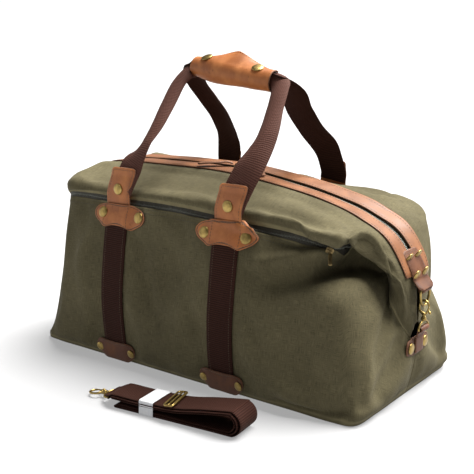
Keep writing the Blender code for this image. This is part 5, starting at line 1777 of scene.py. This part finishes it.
def pocket_slider():
    """The pocket zip's slider and the flat pull that hangs from it."""
    points = skin_points(np.array([2.78, 2.8, 2.82]), at_heights([2.78, 2.8, 2.82], [4.81, 4.83, 4.85]), FRONT)
    centre, out = points[1, 1], outward(points, FRONT)[1, 1]
    along = unit(points[2, 1] - points[0, 1])
    across = np.cross(out, along)
    slider = Shape()
    outline = rounded_outline(np.array(SLIDER_OUTLINE) * 0.78, 0.001, 0.0008)
    plate(slider, outline, flat_place(centre + out * 0.0014, along, across), 0.0011, rim=0)
    bail = spline(((0.0028, 0), (0.0024, 0.0014), (0, 0.0019), (-0.0028, 0.0017), (-0.0034, 0.0004)), 19)
    tube(slider, centre + out * 0.0022 + bail[:, :1] * along + bail[:, 1:] * out, 0.0006, 8, squash=1.4)
    slider.piece("pocket_zip_slider", [DARK_BRASS], "brass", "pocket_zip_slider", ("pocket_slider",))
    cad = np.array([v.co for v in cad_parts["pocket_pull"].data.vertices])
    middle = cad.mean(0)
    axes = np.linalg.svd(cad - middle)[2]
    down = axes[0] * -np.sign(axes[0][2])
    wide = axes[1]
    pull = Shape()
    corners = ((-0.0075, -0.0013), (-0.0050, -0.0024), (0.0062, -0.0024), (0.0075, -0.0012), (0.0075, 0.0012),
               (0.0062, 0.0024), (-0.0050, 0.0024), (-0.0075, 0.0013))
    outline = rounded_outline(corners, 0.0008, 0.0006)
    place = flat_place(middle - axes[2] * 0.0005, down, wide)
    plate(pull, outline, place, 0.0010, rim=0)
    pull.piece("pocket_zip_pull", [DARK_BRASS], "brass", "pocket_zip_pull", ("pocket_pull",))


main_slider("left", -1)
main_slider("right", 1)
pocket_slider()


# ---------------------------------------------------------------- shoulder strap

HEADING = unit(HANK_RIGHT - HANK_LEFT)
HANK_LENGTH = float(np.linalg.norm(HANK_RIGHT - HANK_LEFT))
HANK_ACROSS = np.array((-HEADING[1], HEADING[0], 0))
STRAP_THICK = 0.0015
BEND_CENTRE = (HANK_LENGTH - 0.0165, 0.0160)
HOOK_SEAT = (-0.0078, 0.0084)
STRAP_HOOK_DROOP = 0.13


def hank_route():
    """The strap's line seen from its side: three loops inside each other, with the open bend at the right."""
    cx, cz = BEND_CENTRE
    path = []
    for loop in range(3):
        radius = 0.0148 - 0.0025 * loop
        turn = np.radians(np.linspace(84, -84, 13))
        inset = 0.0012 * loop
        bend = [(cx - inset + radius * math.cos(a), cz + radius * math.sin(a)) for a in turn]
        top = [(x * HANK_LENGTH, z - 0.0024 * loop) for x, z in ((0.05, 0.0166), (0.25, 0.0162), (0.5, 0.0180),
                                                               (0.72, 0.0252))]
        low = [(x * HANK_LENGTH, 0.0012 + 0.0021 * loop + rise) for x, rise in ((0.78, 0.0002), (0.55, 0), (0.3, 0),
                                                                              (0.07, 0))]
        one = top + bend + low
        if loop == 1:
            one = one[::-1]
        path += one
        if loop == 0:
            x, z = low[-1]
            path += [(x - 0.0040, z + 0.0001), (x - 0.0056, z + 0.00105), (x - 0.0040, z + 0.0020)]
        if loop == 1:
            x, z = top[0]
            path += [(x - 0.0036, z - 0.0001), (x - 0.0052, z - 0.0012), (x - 0.0036, z - 0.0023)]
    return path


def hank_point(x, z, y=0.0):
    """A place on the folded strap: x along it, y across it and z above the floor."""
    return HANK_LEFT + HEADING * x + HANK_ACROSS * y + np.array((0, 0, z))


def hank():
    """The folded strap, from the hook's end loop to its other end, and its length."""
    x, z = HOOK_SEAT
    start = [(x + 0.0030 * math.cos(a), z + 0.0030 * math.sin(a)) for a in np.radians((-20, -75, -130, 175, 120, 70))]
    start = [(0.004, 0.0072)] + start + [(0.0010, 0.0146)]
    flat = spline(np.array(start + hank_route()), 2400)
    flat = even(flat, 0.0011)
    route = np.array([hank_point(*p) for p in flat])
    ahead = unit(np.gradient(flat, axis=0))
    normals = np.outer(-ahead[:, 1], HEADING) + np.outer(ahead[:, 0], (0, 0, 1.0))
    far = path_lengths(route)
    widths = WEB_WIDTH - 0.016 * (1 - smooth_step(0.014, 0.030, far))
    outer, inner = ribbon_grids(route, normals, widths, STRAP_THICK, 11)
    skew = 0.0012 * np.sin(far * 7.0)[:, None, None] * HANK_ACROSS
    s = np.linspace(-0.5, 0.5, 11)[None] * WEB_WIDTH + 0 * far[:, None]
    strap = Shape()
    grid_solid(strap, outer + skew, inner + skew, uv=np.stack([far[:, None] + 0 * s, s], -1))
    made = strap.piece("shoulder_strap", [WEB_LOOK], "webbing", "bag", ("shoulder_strap_hank",))
    return made, float(far[-1])


def paper_band():
    """A paper loop round the folded strap, its end glued over itself."""
    x0 = HANK_LENGTH * 0.30
    half_y, low, high = WEB_WIDTH / 2 + 0.0007, 0.0003, 0.0188
    corners = rounded_outline(((-half_y, low), (half_y, low), (half_y, high), (-half_y, high)), 0.0016, 0.0016)
    corners = np.concatenate([corners, corners[:6]])
    lap = np.linspace(0, 1, len(corners))
    out = unit(corners - (0, (low + high) / 2))
    corners = corners + out * (0.00045 * smooth_step(0.80, 0.95, lap))[:, None]
    along = np.linspace(-0.0098, 0.0098, 9)
    outer = np.array([[hank_point(x0 + a, z, y) for a in along] for y, z in corners])
    ways = np.array([HANK_ACROSS * y + np.array((0, 0, 1.0)) * z for y, z in out])
    shape = Shape()
    grid_solid(shape, outer, outer - ways[:, None] * 0.00022)
    return shape.piece("strap_paper", [PAPER], "paper", "bag", ("paper_band",))


def adjuster():
    """The strap's slide: a rounded frame with a bar across its middle."""
    low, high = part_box("strap_adjuster")
    centre = np.array((low + high) / 2)
    stand = Matrix.Rotation(math.atan2(HEADING[1], HEADING[0]), 4, "Z") @ Matrix.Rotation(-0.06, 4, "Y") \
        @ Matrix.Rotation(0.16, 4, "Z")

    def turned(points):
        return np.asarray(points, float) @ np.array(stand.to_3x3()).T + centre

    frame_line = rounded_outline(((-0.0058, -0.0212), (0.0058, -0.0212), (0.0058, 0.0212), (-0.0058, 0.0212)), 0.003,
                                 0.0012)
    slide = Shape()
    tube(slide, turned(np.column_stack([frame_line, 0 * frame_line[:, 0]])), 0.0013, 12, closed=True)
    bar = np.column_stack([0 * np.arange(15.0), np.linspace(-0.0208, 0.0208, 15), 0.0004 + 0 * np.arange(15.0)])
    tube(slide, turned(bar), 0.0013, 12)
    lip = np.column_stack([0.0048 + 0 * np.arange(15.0), np.linspace(-0.0185, 0.0185, 15), 0 * np.arange(15.0)])
    tube(slide, turned(lip), 0.0015, 12)
    slide.piece("strap_slide", [BRASS], "brass", "adjuster", ("strap_adjuster",))


def shoulder_strap():
    """The folded strap with its paper band, slide and hook."""
    strap, length = hank()
    paper = paper_band()
    adjuster()
    seat = Matrix((
        (HEADING[0], HANK_ACROSS[0], 0, 0), (HEADING[1], HANK_ACROSS[1], 0, 0), (0, 0, 1, 0), (0, 0, 0, 1),
    ))
    seat.translation = Vector(hank_point(*HOOK_SEAT))
    seat = seat @ Matrix.Rotation(-math.pi / 2 - STRAP_HOOK_DROOP, 4, "Y")
    snap_hook("strap_hook", ("strap_eye", "strap_hook", "strap_gate"), seat, math.pi / 2)


shoulder_strap()
